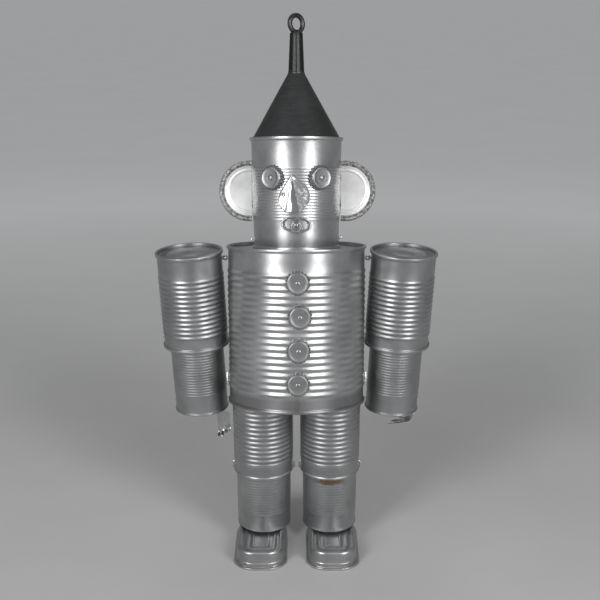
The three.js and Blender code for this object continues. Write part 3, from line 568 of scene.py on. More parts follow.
# ---------------------------------------------------------------- hat
def funnel():
    low, high = span("funnel_hat", TRUNK)
    base = high.x
    cone_top, cone_radius, spout_radius = high.z - SPOUT_HEIGHT, 8.7, 7.0
    sheet = 0.5
    outer = [(base - 0.35, low.z), (base, low.z + 0.3), (base - 0.1, low.z + 0.8)]
    outer += [(base - 0.1 + (cone_radius - base + 0.1) * i / 24,
               low.z + 0.8 + (cone_top - low.z - 0.8) * i / 24)
              for i in range(1, 24)]
    outer += [
        (cone_radius + 0.45, cone_top - 0.6), (cone_radius + 0.5, cone_top), (cone_radius + 0.15,
                cone_top + 0.7),
        (cone_radius - 0.05, cone_top + 2),
    ]
    outer += [(cone_radius + (spout_radius - cone_radius) * i / 8,
               cone_top + 2 + (high.z - cone_top - 2.3) * i / 8)
              for i in range(1, 9)]
    outer += [(spout_radius - 0.1, high.z - 0.05), (spout_radius - 0.25, high.z)]
    inner = [(spout_radius - sheet, high.z), (cone_radius - sheet, cone_top - 0.4), (base - sheet - 0.4,
            low.z)]
    middle = math.radians(358.5)

    def warp(a, z, r):
        half = 1.3 / max(r, 7)
        off = abs((a - middle + math.pi) % TAU - math.pi) / half
        spot = Vector((math.cos(a), math.sin(a), z * 0.02 + 5))
        dent = noise.noise(spot) * 0.25 * min(1, max(0, (high.z - z) / 60)) if z > low.z + 6 else 0
        return dent + (SEAM_SWELL if off < 1.0 else 0.0)

    angles = with_seam(120, middle, 1.3 / 30)
    shape, place = squared(lathe(outer + inner, angles, warp), TRUNK)
    add_piece("funnel_shell", shape, place, FUNNEL, "funnel_paint", "funnel_hat")


def hanging_eye():
    low, high = span("hanging_eye", TRUNK)
    wire, ring = 2.6, 8.7
    centre = high.z - ring - wire
    turn = Matrix.Rotation(math.radians(38), 4, "Z")
    line = [Vector((0, 0, z)) for z in (low.z, low.z + 12, centre - ring - 5, centre - ring - 1.2)]
    loop = [Vector((ring * math.cos(a), ring * math.sin(a), 0)) for a in even(56)]
    upright = Matrix.Translation((0, 0, centre)) @ Matrix.Rotation(math.pi / 2, 4, "X")
    hoop = moved(ring_tube(loop, wire, wire, 20), upright)
    shape, place = squared(moved(join(tube(line, wire - 0.2, 20), hoop), turn), TRUNK)
    add_piece("eye_ring", shape, place, DARK, "dark_steel", "hanging_eye", sharp=50)


# ---------------------------------------------------------------- face and buttons
def on_wall(radius, angle, height):
    """A frame whose Z stands out of a round wall, its X across the wall."""
    out = Vector((math.sin(angle), -math.cos(angle), 0))
    across = Vector((math.cos(angle), math.sin(angle), 0))
    turn = Matrix((across, Vector((0, 0, 1)), out)).transposed().to_4x4()
    return TRUNK @ Matrix.Translation(Vector((out.x * radius, out.y * radius, height)) * MM) @ turn


def wall_place(node):
    """The angle and height at which a cap stands, found from its CAD node."""
    low, high = span(node, TRUNK)
    centre = (low + high) / 2
    angle = math.atan2(centre.x, -centre.y)
    return angle, centre.z


def crown_cap():
    """A crown cap: a dished face inside a rounded shoulder, and a skirt crimped into teeth."""
    teeth, columns = 21, 168
    profile = [
        (1.7, 5.20), (2.6, 5.34), (6.0, 5.40), (9.4, 5.42), (9.8, 5.58), (10.2, 5.64), (10.7, 5.50), (11.3,
                5.05),
        (11.75, 4.6), (12.0, 4.0), (12.2, 3.3), (12.5, 2.5), (12.85, 1.7), (13.15, 0.9), (13.35, 0.12),
        (12.9, 0.05), (12.4, 1.4), (11.9, 2.9), (11.6, 4.0), (11.1, 4.7), (10.5, 5.3), (10.0, 5.4), (9.3,
                5.1),
        (6.0, 5.05), (1.7, 4.9),
    ]

    def warp(a, z, r):
        if r < 11.5 or z > 4.1:
            return 0.0
        grow = ((4.1 - z) / 4.1) ** 0.6
        wave = math.cos(teeth * a)
        return grow * (0.72 * wave - 0.30 * wave * wave + 0.08 * noise.noise(Vector((a * 3, z, 1))))

    return lathe(profile, even(columns), warp)


def pop_rivet(head, stem):
    """A blind rivet: a low domed head with the hole its pin broke off in."""
    profile = [
        (0, stem - 0.9), (0.95, stem - 0.8), (1.05, stem + 0.55), (1.25, stem + 0.85), (head * 0.62,
                stem + 0.85),
        (head * 0.86, stem + 0.5), (head, stem + 0.1), (head * 0.96, stem - 0.05), (1.3,
                stem - 0.05), (1.3, -1.0),
        (0, -1.0),
    ]
    return lathe(profile, even(28))


def caps():
    torso = span("torso_can", TRUNK)[1].x - SEAM_OUT
    for i in range(1, 5):
        angle, height = wall_place(f"button_cap_{i}")
        place = on_wall(torso + 0.3, angle, height)
        add_piece(f"button_{i}", crown_cap(), place, CAP, "silver_paint", f"button_cap_{i}", sharp=50)
        add_piece(f"button_pin_{i}", pop_rivet(2.7, 5.75), place, RIVET, "bare_wire", f"button_rivet_{i}")
    head_low, head_high = span("head_can", TRUNK)
    for letter in SIDES:
        angle, height = wall_place(f"eye_cap_{letter}")
        share = (height - head_low.z) / (head_high.z - head_low.z)
        wall = head_high.x - SEAM_OUT - HEAD_TAPER * (1 - share)
        place = on_wall(wall + 0.8, angle, height)
        add_piece(f"eye_{letter}", crown_cap(), place, CAP, "silver_paint", f"eye_cap_{letter}", sharp=50)
        add_piece(f"eye_pin_{letter}", pop_rivet(2.7, 5.75), place, RIVET, "bare_wire", f"eye_rivet_{letter}")


NOSE_RIGHT = [(0.6, 0.6), (9.5, -5.3), (17.0, -11.8), (20.0, -20), (19.0, -29), (13.5, -35.3), (8.0, -37.3)]
NOSE_LEFT = [(-0.6, 0.6), (-7, -8.9), (-12.7, -17.9), (-15, -26), (-12.7, -33.3), (-7, -37.8)]


def edge_at(edge, z):
    """Where an edge given from top to bottom crosses a height."""
    for (x0, z0), (x1, z1) in zip(edge, edge[1:]):
        if z0 >= z >= z1:
            return x0 + (x1 - x0) * (z0 - z) / (z0 - z1)
    return edge[-1][0] if z < edge[-1][1] else edge[0][0]


def nose():
    """A folded scrap of tin: two flanges and a sharp ridge, open below."""
    head_low, head_high = span("head_can", TRUNK)
    top = span("nose", TRUNK)[1].z - 0.1
    rivet_z = (span("nose_rivet_l", TRUNK)[0].z + span("nose_rivet_l", TRUNK)[1].z) / 2
    share = (rivet_z - head_low.z) / (head_high.z - head_low.z)
    wall = head_high.x - SEAM_OUT - HEAD_TAPER * (1 - share) + 1.35
    turn = -5.0 / wall
    foot, rise = -37.6, 9.6
    rows, flange, face = 64, 12, 12
    points, faces = [], []
    for i in range(rows + 1):
        t = i / rows
        z = 0.2 + (foot - 0.2) * t
        left = sum(edge_at(NOSE_LEFT, z + d) for d in (-1.6, -0.8, 0, 0.8, 1.6)) / 5
        right = sum(edge_at(NOSE_RIGHT, z + d) for d in (-1.6, -0.8, 0, 0.8, 1.6)) / 5
        foot_left, foot_right, crest = -6.4 * t, 8.0 * t, -5.2 * t
        foot_left, foot_right = max(foot_left, left + 0.05), min(foot_right, right - 0.05)
        crest = min(max(crest, foot_left), foot_right)
        xs = [left + (foot_left - left) * k / flange for k in range(flange)]
        xs += [foot_left + (crest - foot_left) * k / face for k in range(face)]
        xs += [crest + (foot_right - crest) * k / face for k in range(face)]
        xs += [foot_right + (right - foot_right) * k / flange for k in range(flange + 1)]
        for k, x in enumerate(xs):
            if flange <= k <= flange + face:
                ridge = rise * t * ((k - flange) / face)
            elif flange + face < k <= flange + 2 * face:
                ridge = rise * t * (1 - (k - flange - face) / face)
            else:
                ridge = 0.0
            ridge = ridge - 0.35 * max(0.0, ridge / max(rise * t, 0.01) - 0.9) * 10 * t
            out = min(x - left, right - x)
            side = x + 9.5 if x < 0 else x - 11.0
            lump = 0.35 * noise.noise(Vector((x * 0.13, z * 0.13,
                                              9))) + 0.15 * noise.noise(Vector((x * 0.4, z * 0.4, 3)))
            curl = 0.35 * max(0.0, 1 - out / 1.2)
            press = -0.3 * sum(math.exp(-((x - px) ** 2 + (z + 20.6) ** 2) / 5) for px in (-8.6, 11.4))
            a = x / wall
            radius = wall + ridge + lump + curl + press + 0.011 * side * side
            points.append(Vector((radius * math.sin(a), -radius * math.cos(a), z)))
    columns = len(xs)
    for i in range(rows):
        for k in range(columns - 1):
            a = i * columns + k
            faces.append([a, a + 1, a + columns + 1, a + columns])
    place = TRUNK @ Matrix.Translation((0, 0, top * MM)) @ Matrix.Rotation(turn, 4, "Z")
    piece = add_piece("nose_fold", (points, faces), place, TRIM, "silver_paint", "nose", sharp=60)
    modify(piece, "SOLIDIFY", thickness=0.45 * MM, offset=0.0)
    finish_mesh(piece, 30)
    for letter in SIDES:
        low, high = span(f"nose_rivet_{letter}", TRUNK)
        centre = (low + high) / 2
        angle = math.atan2(centre.x, -centre.y)
        add_piece(f"nose_pin_{letter}", pop_rivet(1.9, 0.35), on_wall(wall, angle, centre.z), RIVET,
                  "bare_wire",
                  f"nose_rivet_{letter}")


def mouth():
    """The pull-tab of a can: a rolled outer edge, two crescent holes and a riveted boss."""
    low, high = span("mouth_tab", TRUNK)
    half_x, half_z = (high.x - low.x) / 2, (high.z - low.z) / 2
    wall = -high.y
    tilt = -0.05

    def bow(x):
        return -x * x / (2 * wall) * 0.6 + 1.6

    loop = []
    for a in even(96):
        c, t = math.cos(a), math.sin(a)
        x = (half_x - 1.3) * math.copysign(abs(c) ** 0.8, c)
        z = (half_z - 1.3) * math.copysign(abs(t) ** 0.8, t)
        pinch = 0.17 * math.exp(-((x - 2.5) / 4.0) ** 2) if t > 0 else 0.0
        side_pinch = 0.10 * math.exp(-((abs(x) - 9.5) / 3.0) ** 2) if t < 0 else 0.0
        loop.append(Vector((x, z * (1 - pinch - side_pinch) + tilt * x, bow(x))))
    edge = ring_tube(loop, 1.0, 1.45)
    inner = []
    for p in loop:
        reach = math.hypot(p.x, p.y)
        web = min(1.0, max(0.0, (abs(p.x) - 6.8) / 3.0))
        web = web * web * (3 - 2 * web)
        inner.append((p.x, p.y, reach, web))
    plate_points, plate_faces = [], []
    steps = 5
    for i, (x, y, reach, web) in enumerate(inner):
        start = 0.98 - 1.2 / reach
        stop_reach = 5.2 + (reach * start - 0.3 - 5.2) * web
        for k in range(steps):
            here = (reach * start + (stop_reach - reach * start) * k / (steps - 1)) / reach
            height = bow(x * here) - 0.55
            plate_points.append(Vector((x * here, y * here, height)))
    count = len(inner)
    for i in range(count):
        n = (i + 1) % count
        for k in range(steps - 1):
            plate_faces.append([i * steps + k, i * steps + k + 1, n * steps + k + 1, n * steps + k])
    thin = 0.5
    base = len(plate_points)
    plate_points += [p - Vector((0, 0, thin)) for p in plate_points]
    plate_faces += [[v + base for v in f[::-1]] for f in plate_faces]
    for i in range(count):
        n = (i + 1) % count
        for k in (0, steps - 1):
            quad = [i * steps + k, n * steps + k, n * steps + k + base, i * steps + k + base]
            plate_faces.append(quad if k == 0 else quad[::-1])
    boss = lathe([(0, 1.0), (6.6, 1.0), (7.0, 1.5), (6.9, 2.2), (6.3, 2.6), (5.7, 2.1), (5.2, 1.75), (4.7,
            2.0),
                  (4.2, 2.75), (3.7, 2.95), (3.2, 2.6), (2.8, 2.1), (0, 2.1)], even(56))
    boss = moved(boss, Matrix.Translation((0, -0.7, 0.1)))
    height = (low.z + high.z) / 2
    place = on_wall(wall, 0.0, height)
    shape = join(edge, (plate_points, plate_faces), boss)
    add_piece("mouth_pull", shape, place, TRIM, "silver_paint", "mouth_tab", sharp=45)
    add_piece("mouth_pin", moved(pop_rivet(2.6, 2.5), Matrix.Translation((0, -0.7, 0))), place, RIVET,
              "bare_wire",
              "mouth_rivet")


def ears():
    for letter, side in SIDES.items():
        low, high = span("ear_" + letter, TRUNK)
        radius = (high.z - low.z) / 2 - 0.15
        outer = max(abs(low.x), abs(high.x))
        centre_x, centre_z = outer - radius - 0.15, (low.z + high.z) / 2
        head_low, head_high = span("head_can", TRUNK)
        share = (centre_z + radius - head_low.z) / (head_high.z - head_low.z)
        chord = centre_x - (head_high.x - SEAM_OUT - HEAD_TAPER * (1 - share)) - 0.3
        heights = [(8.0, 0.0), (11.0, 0.0), (16.0, 0.02), (20.0, 0.05), (21.2, 0.12), (21.9, 0.62), (22.6,
                0.66),
                   (23.3, 0.2), (24.4, 0.15), (25.0, 0.55), (25.8, 0.95), (26.6, 0.6), (27.2, -0.3), (27.9,
                           -0.5),
                   (28.5, 0.4), (28.9, 1.5), (29.4, 2.0), (30.2, 2.1), (31.0, 1.7), (31.6, 1.0), (32.0, 0.3),
                   (32.2, -0.3)]
        steps = 120
        points = [Vector((-chord, 0, 0))]
        faces = []
        for r, h in heights:
            r = r * radius / 32.4
            for k in range(steps + 1):
                a = -math.pi / 2 + math.pi * k / steps
                reach = chord * math.cos(a) + math.sqrt(r * r - (chord * math.sin(a)) ** 2)
                x, z = reach * math.cos(a) - chord, reach * math.sin(a)
                rim = min(1.0, max(0.0, (r - 28.2 * radius / 32.4) / 1.5))
                spot = Vector((a * 10, r * 0.22, side * 4.0))
                nick = abs(noise.noise(Vector((a * 16, 0.0, side * 7.0))))
                crinkle = rim * (0.5 * noise.noise(spot) + 0.3 * noise.noise(spot * 2.7) - 0.9 * max(0,
                        0.16 - nick) / 0.16)
                push = 1 + rim * 0.012 * noise.noise(spot * 1.9)
                lump = 0.3 * noise.noise(Vector((x * 0.05, z * 0.05, side * 2.0)))
                points.append(Vector((x * push, -(h + crinkle + lump) + 0.9, z * min(push, 1.0))))
        row = steps + 1
        for k in range(steps):
            faces.append([0, 1 + k, 2 + k])
        for i in range(len(heights) - 1):
            for k in range(steps):
                a = 1 + i * row + k
                faces.append([a, a + 1, a + row + 1, a + row])
        flip = Matrix.Diagonal((side, 1, 1, 1))
        place = TRUNK @ Matrix.Translation(Vector((side * centre_x, 0, centre_z)) * MM)
        piece = add_piece("ear_lid_" + letter, moved((points, faces), flip), place, LID, "silver_paint",
                          "ear_" + letter, sharp=60)
        modify(piece, "SOLIDIFY", thickness=0.4 * MM, offset=0.0)
        finish_mesh(piece, 40)
        for level in (-1, 1):
            wall = 43.0
            line = [Vector((side * x, 1.65, centre_z + level * 14)) for x in (wall, outer - radius + 2.5)]
            add_piece(f"ear_tab_{letter}_{'up' if level > 0 else 'low'}", strap(line, 8.0, 0.6), TRUNK, LID,
                      "silver_paint", body="torso")


def strap(line, width, thickness):
    """A flat strip standing upright between two points, its edges eased."""
    start, end = line
    along = (end - start).normalized()
    up = Vector((0, 0, 1))
    out = along.cross(up)
    section = []
    for u, v in ((-1, -0.6), (-0.93, -1), (0.93, -1), (1, -0.6), (1, 0.6), (0.93, 1), (-0.93, 1), (-1, 0.6)):
        section.append(up * u * width / 2 + out * v * thickness / 2)
    points = []
    for i in range(7):
        centre = start.lerp(end, i / 6)
        points += [centre + s for s in section]
    faces = [[k * 8 + i, k * 8 + (i + 1) % 8, (k + 1) * 8 + (i + 1) % 8, (k + 1) * 8 + i]
             for k in range(6) for i in range(8)]
    faces += [list(range(8))[::-1], list(range(48, 56))]
    return points, faces


# ---------------------------------------------------------------- wires, pins and beads
def wires():
    high = span("hip_rod", TRUNK)[1]
    rod = 1.5
    out = high.x - rod
    corners = [Vector((-out + 0.3, 0, high.z)), Vector((-out, 0, 0)), Vector((out, 0, 0)),
               Vector((out - 0.3, 0, high.z))]
    add_piece("hip_wire", tube(smooth_line(corners, 2.8), rod), TRUNK, BARE, "bare_wire", "hip_rod", sharp=60)
    low, high = span("neck_wire", TRUNK)
    rod = 1.1
    out, level = high.x - rod, (low.z + high.z) / 2
    corners = [Vector((-out, 0, low.z)), Vector((-out, 0, level)), Vector((out, 0, level)), Vector((out, 0,
            high.z))]
    add_piece("neck_pin", tube(smooth_line(corners, 1.7), rod), TRUNK, BARE, "bare_wire", "neck_wire",
              sharp=60)
    for letter, side in SIDES.items():
        low, high = span("shoulder_wire_" + letter, TRUNK)
        rod = 1.2
        level = high.z - rod
        near, far = sorted((low.x, high.x), key=abs)
        near, far = near + side * rod, far - side * rod
        corners = [Vector((near, 0, low.z)), Vector((near, 0, level)), Vector((far, 0, level)),
                   Vector((far, 0, low.z))]
        add_piece("shoulder_pin_" + letter, tube(smooth_line(corners, 1.9), rod), TRUNK, BARE, "bare_wire",
                  "shoulder_wire_" + letter, sharp=60)
        low, high = span("shoulder_bead_" + letter, TRUNK)
        r = (high.z - low.z) / 2
        arc = [math.radians(-66 + 132 * i / 14) for i in range(15)]
        profile = [(r * math.cos(a), r * math.sin(a)) for a in arc] + [(1.35, r * 0.8), (1.35, -r * 0.8)]
        middle = (low + high) / 2
        place = TRUNK @ Matrix.Translation(middle * MM) @ Matrix.Rotation(math.pi / 2, 4, "Y")
        add_piece("shoulder_ball_" + letter, lathe(profile, even(40)), place, BARE, "bare_wire",
                  "shoulder_bead_" + letter, sharp=60)
        place = leg_frame(letter)
        low, high = span("knee_pin_" + letter, place)
        rod = 1.0
        level = high.z - rod
        out = high.x - rod
        corners = [Vector((-out, 0, low.z)), Vector((-out, 0, level)), Vector((out, 0, level)),
                   Vector((out, 0, low.z))]
        add_piece("knee_wire_" + letter, tube(smooth_line(corners, 1.7), rod), place, BARE, "bare_wire",
                  "knee_pin_" + letter, sharp=60)
        place = arm_frame(letter)
        for node in ("elbow_pin_", "wrist_pin_"):
            low, high = span(node + letter, place)
            level = (low.z + high.z) / 2
            line = [Vector((low.x + (high.x - low.x) * i / 4, 0, level)) for i in range(5)]
            add_piece(node[:-1] + "_wire_" + letter, tube(line, 1.0), place, BARE, "bare_wire",
                      node + letter, sharp=60)


# ---------------------------------------------------------------- arms and legs
def limbs():
    for letter, side in SIDES.items():
        place = arm_frame(letter)
        low, high = span("upper_arm_can_" + letter, place)
        r = high.y - SEAM_OUT
        shape = can_shape(low.z, high.z, r, r, (high.z - 28, high.z - 92.8, 5.4, 0.85), 96, top="lid",
                          seed=side * 2.3)
        add_piece("upper_arm_" + letter, shape, place, ARM_SHADED, "silver_paint", "upper_arm_can_" + letter)
        low, high = span("lower_arm_can_" + letter, place)
        r = high.y - SEAM_OUT
        shape = can_shape(low.z, high.z, r, r, (high.z - 28, high.z - 77.5, 3.3, 0.30), 88, bottom_out=1.1,
                          seed=side * 5.1)
        add_piece("lower_arm_" + letter, shape, place, ARM_SHADED, "silver_paint", "lower_arm_can_" + letter)
        place = leg_frame(letter)
        low, high = span("upper_leg_can_" + letter, place)
        r = high.y - SEAM_OUT
        shape = can_shape(low.z, high.z, r, r, (high.z - 18, low.z + 21, 5.7, 0.85), 96, top="lid",
                          bottom_out=0.8,
                          seed=side * 8.9)
        add_piece("upper_leg_" + letter, shape, place, LEG_SHADED, "silver_paint", "upper_leg_can_" + letter)
        low, high = span("lower_leg_can_" + letter, place)
        r = high.y - 0.5
        shape = can_shape(low.z, high.z, r, r, (high.z - 16, low.z + 23, 3.5, 0.24), 96, bottom="lid",
                          top_out=0.5,
                          bottom_out=0.5, seed=side * 4.4)
        add_piece("lower_leg_" + letter, shape, place, WORN_LEG_SHADED if side > 0 else LEG_SHADED, "silver_paint",
                  "lower_leg_can_" + letter)


FOOT_RINGS = [
    # inset from the flange's edge, height
    (0.0, 0.15), (0.0, 0.7), (0.05, 1.7), (0.4, 2.35), (1.2, 2.5), (2.2, 2.6), (2.7, 3.1), (2.9,
            4.2), (3.0, 7.0),
    (3.4, 7.5), (3.6, 8.1), (3.8, 12.0), (4.2, 17.6), (4.5, 19.0), (5.1, 20.2), (6.0, 21.0), (7.1, 21.25),
    (8.2, 21.1), (9.0, 20.6), (9.6, 19.7), (10.0, 18.9), (10.6, 18.65), (12.8, 18.6), (13.5, 19.0), (14.3,
            19.5),
    (15.4, 19.5), (16.2, 19.0), (16.9, 18.6), (20.4, 18.6), (21.1, 19.0), (21.9, 19.3), (22.8,
            19.3), (23.5, 19.0),
    (24.1, 18.6), (27.5, 18.6),
]


def foot_shape(low, high, seed):
    """The upturned tin: rings drawn in from its flange, over the raised edge, down into the panel."""
    half_x, half_y = (high.x - low.x) / 2, (high.y - low.y) / 2
    middle = (low + high) / 2
    per = 22
    points, faces = [], []

    def ring(inset, z, thin):
        corner = max(24 - inset, 1.6)
        hx, hy = half_x - inset - thin, half_y - inset - thin
        for quarter in range(4):
            sx = 1 if quarter in (0, 3) else -1
            sy = 1 if quarter < 2 else -1
            for i in range(per):
                a = math.pi / 2 * (quarter + i / (per - 1))
                x = sx * (hx - corner) + corner * math.cos(a)
                y = sy * (hy - corner) + corner * math.sin(a)
                spot = Vector((x * 0.055, y * 0.055, z * 0.05 + seed))
                fine = Vector((x * 0.16, y * 0.16, z * 0.22 + seed))
                wall = 1.0 if 3 < z < 17 and inset < 5 else 0.12
                push = wall * (0.5 * noise.noise(spot) + 0.35 * noise.noise(fine)) if z > 1.0 else 0.0
                reach = math.hypot(x, y)
                scale = 1 + min(0.0, push) / reach if inset < 2.2 else 1 + push / max(reach, 8) * 0.6
                points.append(Vector((middle.x + x * scale, middle.y + y * scale,
                                      z + (0.12 * push if z > 3 and inset < 5 else 0))))

    rows = FOOT_RINGS
    for inset, z in rows:
        ring(inset, z, 0.0)
    for inset, z in [(i, z) for i, z in rows if i > 1.5][::-1]:
        ring(inset, z - 0.4 if inset > 4 else z, 0.4 if inset < 4.5 else 0.0)
    ring(0.4, 2.05, 0.0)
    count = 4 * per
    total = len(points) // count
    top = len(rows) - 1
    for k in range(total):
        if k == top:
            continue
        n = (k + 1) % total
        for i in range(count):
            j = (i + 1) % count
            faces.append([k * count + i, k * count + j, n * count + j, n * count + i])
    faces.append([top * count + i for i in range(count)])
    faces.append([(top + 1) * count + i for i in range(count)][::-1])
    return points, faces


def feet():
    for letter, side in SIDES.items():
        place = leg_frame(letter)
        low, high = span("foot_tin_" + letter, place)
        add_piece("foot_" + letter, foot_shape(low, high, side * 3.3), place, FOOT, "silver_paint",
                  "foot_tin_" + letter)


# ---------------------------------------------------------------- hands, cut from thin sheet
def hands():
    for letter, side in SIDES.items():
        place = arm_frame(letter)
        low, high = span("hand_" + letter, place)
        pin = (span("wrist_pin_" + letter, place)[0].z + span("wrist_pin_" + letter, place)[1].z) / 2
        if side < 0:
            flat_hand(letter, place, low, high, pin)
        else:
            curled_hand(letter, place, low, high, pin)


def strip(rows, across, cells):
    """A strip of sheet from rows of (middle, half width)."""
    points = [centre + across * half * (2 * k / cells - 1) for centre, half in rows for k in range(cells + 1)]
    faces = []
    for i in range(len(rows) - 1):
        for k in range(cells):
            a = i * (cells + 1) + k
            faces.append([a, a + 1, a + cells + 2, a + cells + 1])
    return points, faces


def crumple(shape, amount, seed):
    points = []
    for p in shape[0]:
        a = noise.noise(Vector((p.x * 0.16 + seed, p.y * 0.16, p.z * 0.16)))
        b = noise.noise(Vector((p.x * 0.45 + seed, p.y * 0.45, p.z * 0.45)))
        points.append(Vector((p.x + amount * 0.3 * b, p.y + amount * (a + 0.4 * b), p.z)))
    return points, shape[1]


def flat_hand(letter, place, low, high, pin):
    middle = high.x - 8
    neck_x = low.x + 5
    across = Vector((1, 0, 0))
    rows = []
    for i in range(10):
        a = math.radians(100 + 250 * i / 9)
        rows.append((Vector((neck_x, 1.75 * math.cos(a), pin + 1.75 * math.sin(a))), 5.0))
    for i in range(1, 12):
        rows.append((Vector((neck_x, 0, pin - 1.8 - 14.5 * i / 12)), 5.0))
    for i in range(7):
        t = i / 6
        rows.append((Vector((neck_x + (middle - neck_x) * t, 0, pin - 17 - 3 * t)), 5.0 + 2.8 * t))
    for i in range(1, 12):
        rows.append((Vector((middle, 0, pin - 20 - 18.5 * i / 11)), 7.8))
    points, faces = strip(rows, across, 12)
    start = rows[-1][0]
    width, gap = 3.2, 1.1
    for finger in range(4):
        x = middle - 7.8 + width / 2 + finger * (width + gap)
        curl = 30 + 14 * finger
        length = 16 - abs(finger - 1) * 1.2
        y, z, heading = 0.0, start.z + 0.5, 0.0
        line = []
        for i in range(17):
            line.append(Vector((x, y, z)))
            heading += math.radians(curl * 2.6 / 16)
            y -= length / 16 * math.sin(heading)
            z -= length / 16 * math.cos(heading)
        tapered = [(p, width / 2 * (1 if i < 14 else 1 - (i - 13) * 0.17)) for i, p in enumerate(line)]
        points, faces = join((points, faces), strip(tapered, across, 4))
    shape = crumple((points, faces), 0.5, 2.0)
    kept = [Vector((min(max(p.x, low.x + 0.3), high.x - 0.3), max(p.y, low.y + 0.3), max(p.z, low.z + 0.3)))
            for p in shape[0]]
    piece = add_piece("hand_sheet_" + letter, (kept, shape[1]), place, TRIM, "silver_paint",
                      "hand_" + letter, sharp=60)
    modify(piece, "SOLIDIFY", thickness=HAND_SHEET * MM, offset=0.0)
    finish_mesh(piece, 45)


def curled_hand(letter, place, low, high, pin):
    reach = high.x - 0.4
    corners = [Vector((reach, 0, pin + 4)), Vector((reach, 0, pin - 18)), Vector((reach - 5, 0, pin - 26)),
               Vector((reach - 20, 0, pin - 28.5)), Vector((low.x + 0.6, 0, pin - 30.5))]
    line = smooth_line(corners, 4.0, 6)
    dense = []
    for a, b in zip(line, line[1:]):
        steps = max(1, int((b - a).length / 1.2))
        dense += [a.lerp(b, i / steps) for i in range(steps)]
    dense.append(line[-1])
    across = Vector((0, 1, 0))
    total = len(dense)
    palm = []
    split = next(i for i, p in enumerate(dense) if p.x < reach - 9)
    for p in dense[:split + 1]:
        palm.append((p, 5.0 + 3.0 * min(1.0, max(0.0, (pin - p.z - 12) / 5))))
    points, faces = strip(palm, across, 12)
    width, gap = 3.2, 1.1
    for finger in range(4):
        y = -8 + width / 2 + finger * (width + gap)
        stop = total - (0, 3, 5, 9)[finger]
        rows = []
        run = dense[split:stop]
        for i, p in enumerate(run):
            t = i / (len(run) - 1)
            lift = Vector((0, 0, (0.0, 1.2, -0.2, 2.6)[finger] * t * t))
            half = width / 2 * (1 if t < 0.85 else 1 - (t - 0.85) * 2.4)
            rows.append((p + lift + Vector((0, y, 0)), half))
        points, faces = join((points, faces), strip(rows, across, 4))
    shape = []
    for p in points:
        a = noise.noise(Vector((p.x * 0.16, p.y * 0.2, p.z * 0.16 + 5)))
        shape.append(Vector((min(p.x + 0.3 * a, high.x - 0.3), p.y, max(p.z + 0.6 * a, low.z + 0.3))))
    piece = add_piece("hand_sheet_" + letter, (shape, faces), place, TRIM, "silver_paint",
                      "hand_" + letter, sharp=60)
    modify(piece, "SOLIDIFY", thickness=HAND_SHEET * MM, offset=0.0)
    finish_mesh(piece, 45)


# ---------------------------------------------------------------- build the figure
torso_can()
head_can()
funnel()
hanging_eye()
caps()
nose()
mouth()
ears()
wires()
limbs()
feet()
hands()
# These nodes keep their CAD meshes, with a better material.
for name, thing in NODES.items():
    if name.startswith(("neck_tie", "eye_nut", "foot_nut", "foot_bolt")):
        thing.data.materials.clear()
        thing.data.materials.append(BARE if name == "neck_tie" else DARK)


# ---------------------------------------------------------------- floor, backdrop, lights and camera
def backdrop():
    """A wide pale floor. Away from the figure it glows a little: painted light, an emission standing in for
    the lamp-lit studio floor.
    """
    n = Nodes("floor_paper")
    cloud = n.noise(3.0, 4, 0.55)
    n.feed(n.shader.inputs["Base Color"], n.mix(n.ramp(cloud, 0.3, 0.7), (0.45, 0.45, 0.445), (0.49, 0.49,
            0.485)))
    n.feed(n.shader.inputs["Roughness"], n.ramp(n.noise(40, 3, 0.5), 0.3, 0.7, 0.75, 0.88))
    n.link(n.bump(n.noise(900, 2, 0.5), 0.05, 0.0002), n.shader.inputs["Normal"])
    x, y, _ = n.axes()
    glow_reach = n.math("SQRT", n.math("ADD", n.math("MULTIPLY", x, x), n.math("MULTIPLY", y, y)))
    # The floor's emission is painted light: a glow standing in for the lamp-lit floor far from the figure.
    n.shader.inputs["Emission Color"].default_value = (0.97, 0.98, 1.0, 1)
    n.feed(n.shader.inputs["Emission Strength"], n.ramp(glow_reach, 0.35, 2.0, 0.0, 0.235))
    rings = [0.0, 0.25, 0.5, 1.0, 2.0, 4.0, 8.0, 16.0, 40.0]
    points, faces = lathe([(r / MM, 0.0) for r in rings], even(64))
    faces = [f for f in faces if max(f) < len(points)][:64 * (len(rings) - 1)]
    mesh = bpy.data.meshes.new("floor")
    mesh.from_pydata([Vector(p) * MM for p in points], [], faces)
    mesh.validate()
    mesh.materials.append(n.material)
    sheet = bpy.data.objects.new("floor", mesh)
    bpy.context.scene.collection.objects.link(sheet)


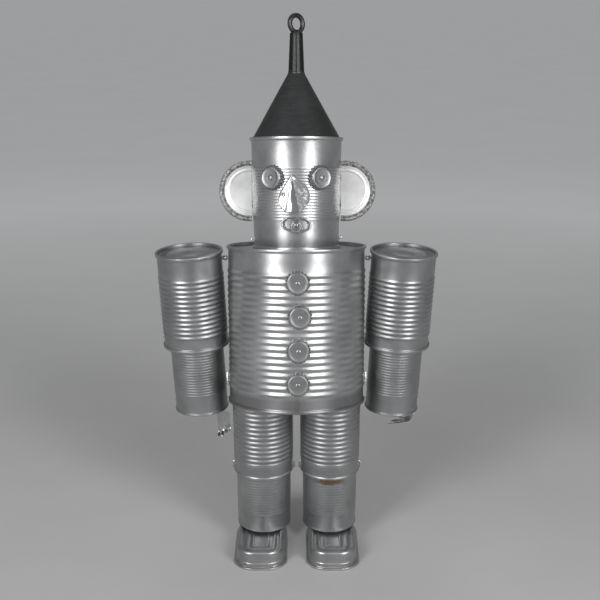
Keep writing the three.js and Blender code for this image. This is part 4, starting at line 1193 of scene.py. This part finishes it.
def softbox(name, azimuth, height, distance, width, tall, power, aim):
    """An area light, azimuth in degrees to the side of straight in front."""
    light = bpy.data.lights.new(name, "AREA")
    light.shape = "RECTANGLE"
    light.size, light.size_y = width, tall
    light.energy = power
    light.spread = math.radians(120)
    lamp = bpy.data.objects.new(name, light)
    bpy.context.scene.collection.objects.link(lamp)
    a = math.radians(azimuth)
    lamp.location = (distance * math.sin(a), -distance * math.cos(a), height)
    lamp.rotation_euler = (Vector(aim) - lamp.location).to_track_quat("-Z", "Y").to_euler()


def light_and_camera():
    world = bpy.data.worlds.new("studio")
    bpy.context.scene.world = world
    world.use_nodes = True
    tree = world.node_tree
    background = tree.nodes["Background"]
    background.inputs["Color"].default_value = (0.97, 0.98, 1.0, 1)
    coord = tree.nodes.new("ShaderNodeTexCoord")
    split = tree.nodes.new("ShaderNodeSeparateXYZ")
    tree.links.new(coord.outputs["Generated"], split.inputs[0])
    total = tree.nodes.new("ShaderNodeMath")
    total.operation = "ADD"
    # Bright at the horizon, like the floor's edge, dimmer above it, and brighter again overhead.
    for slot, (z_low, z_high, start, end) in enumerate(((0.0, 0.2, 0.235, 0.13), (0.2, 0.65, 0.0, 0.11))):
        step = tree.nodes.new("ShaderNodeMapRange")
        for name, value in (("From Min", z_low), ("From Max", z_high), ("To Min", start), ("To Max", end)):
            step.inputs[name].default_value = value
        tree.links.new(split.outputs["Z"], step.inputs["Value"])
        tree.links.new(step.outputs[0], total.inputs[slot])
    tree.links.new(total.outputs[0], background.inputs["Strength"])
    middle = (0, 0, 0.32)
    softbox("left_box", -36, 0.88, 1.35, 0.46, 1.05, 6.0, middle)
    softbox("right_box", 37, 0.88, 1.35, 0.46, 1.05, 5.5, middle)
    softbox("top_box", 180, 2.2, 0.7, 1.2, 0.9, 0.8, (0, 0.1, 0.3))
    softbox("back_box", 180, 2.6, 1.9, 1.4, 0.8, 4.0, middle)
    camera = bpy.data.cameras.new("camera")
    camera.sensor_width = 36
    camera.lens = 60.3
    camera.shift_y = 0.121
    camera.clip_start, camera.clip_end = 0.05, 200
    eye = bpy.data.objects.new("camera", camera)
    bpy.context.scene.collection.objects.link(eye)
    eye.location = (0.004, HIP.y - 1.0767, 0.6326)
    eye.rotation_euler = (math.radians(90 - 21.29), 0, 0)
    bpy.context.scene.camera = eye
    bpy.context.scene.view_settings.view_transform = "Standard"


backdrop()
light_and_camera()
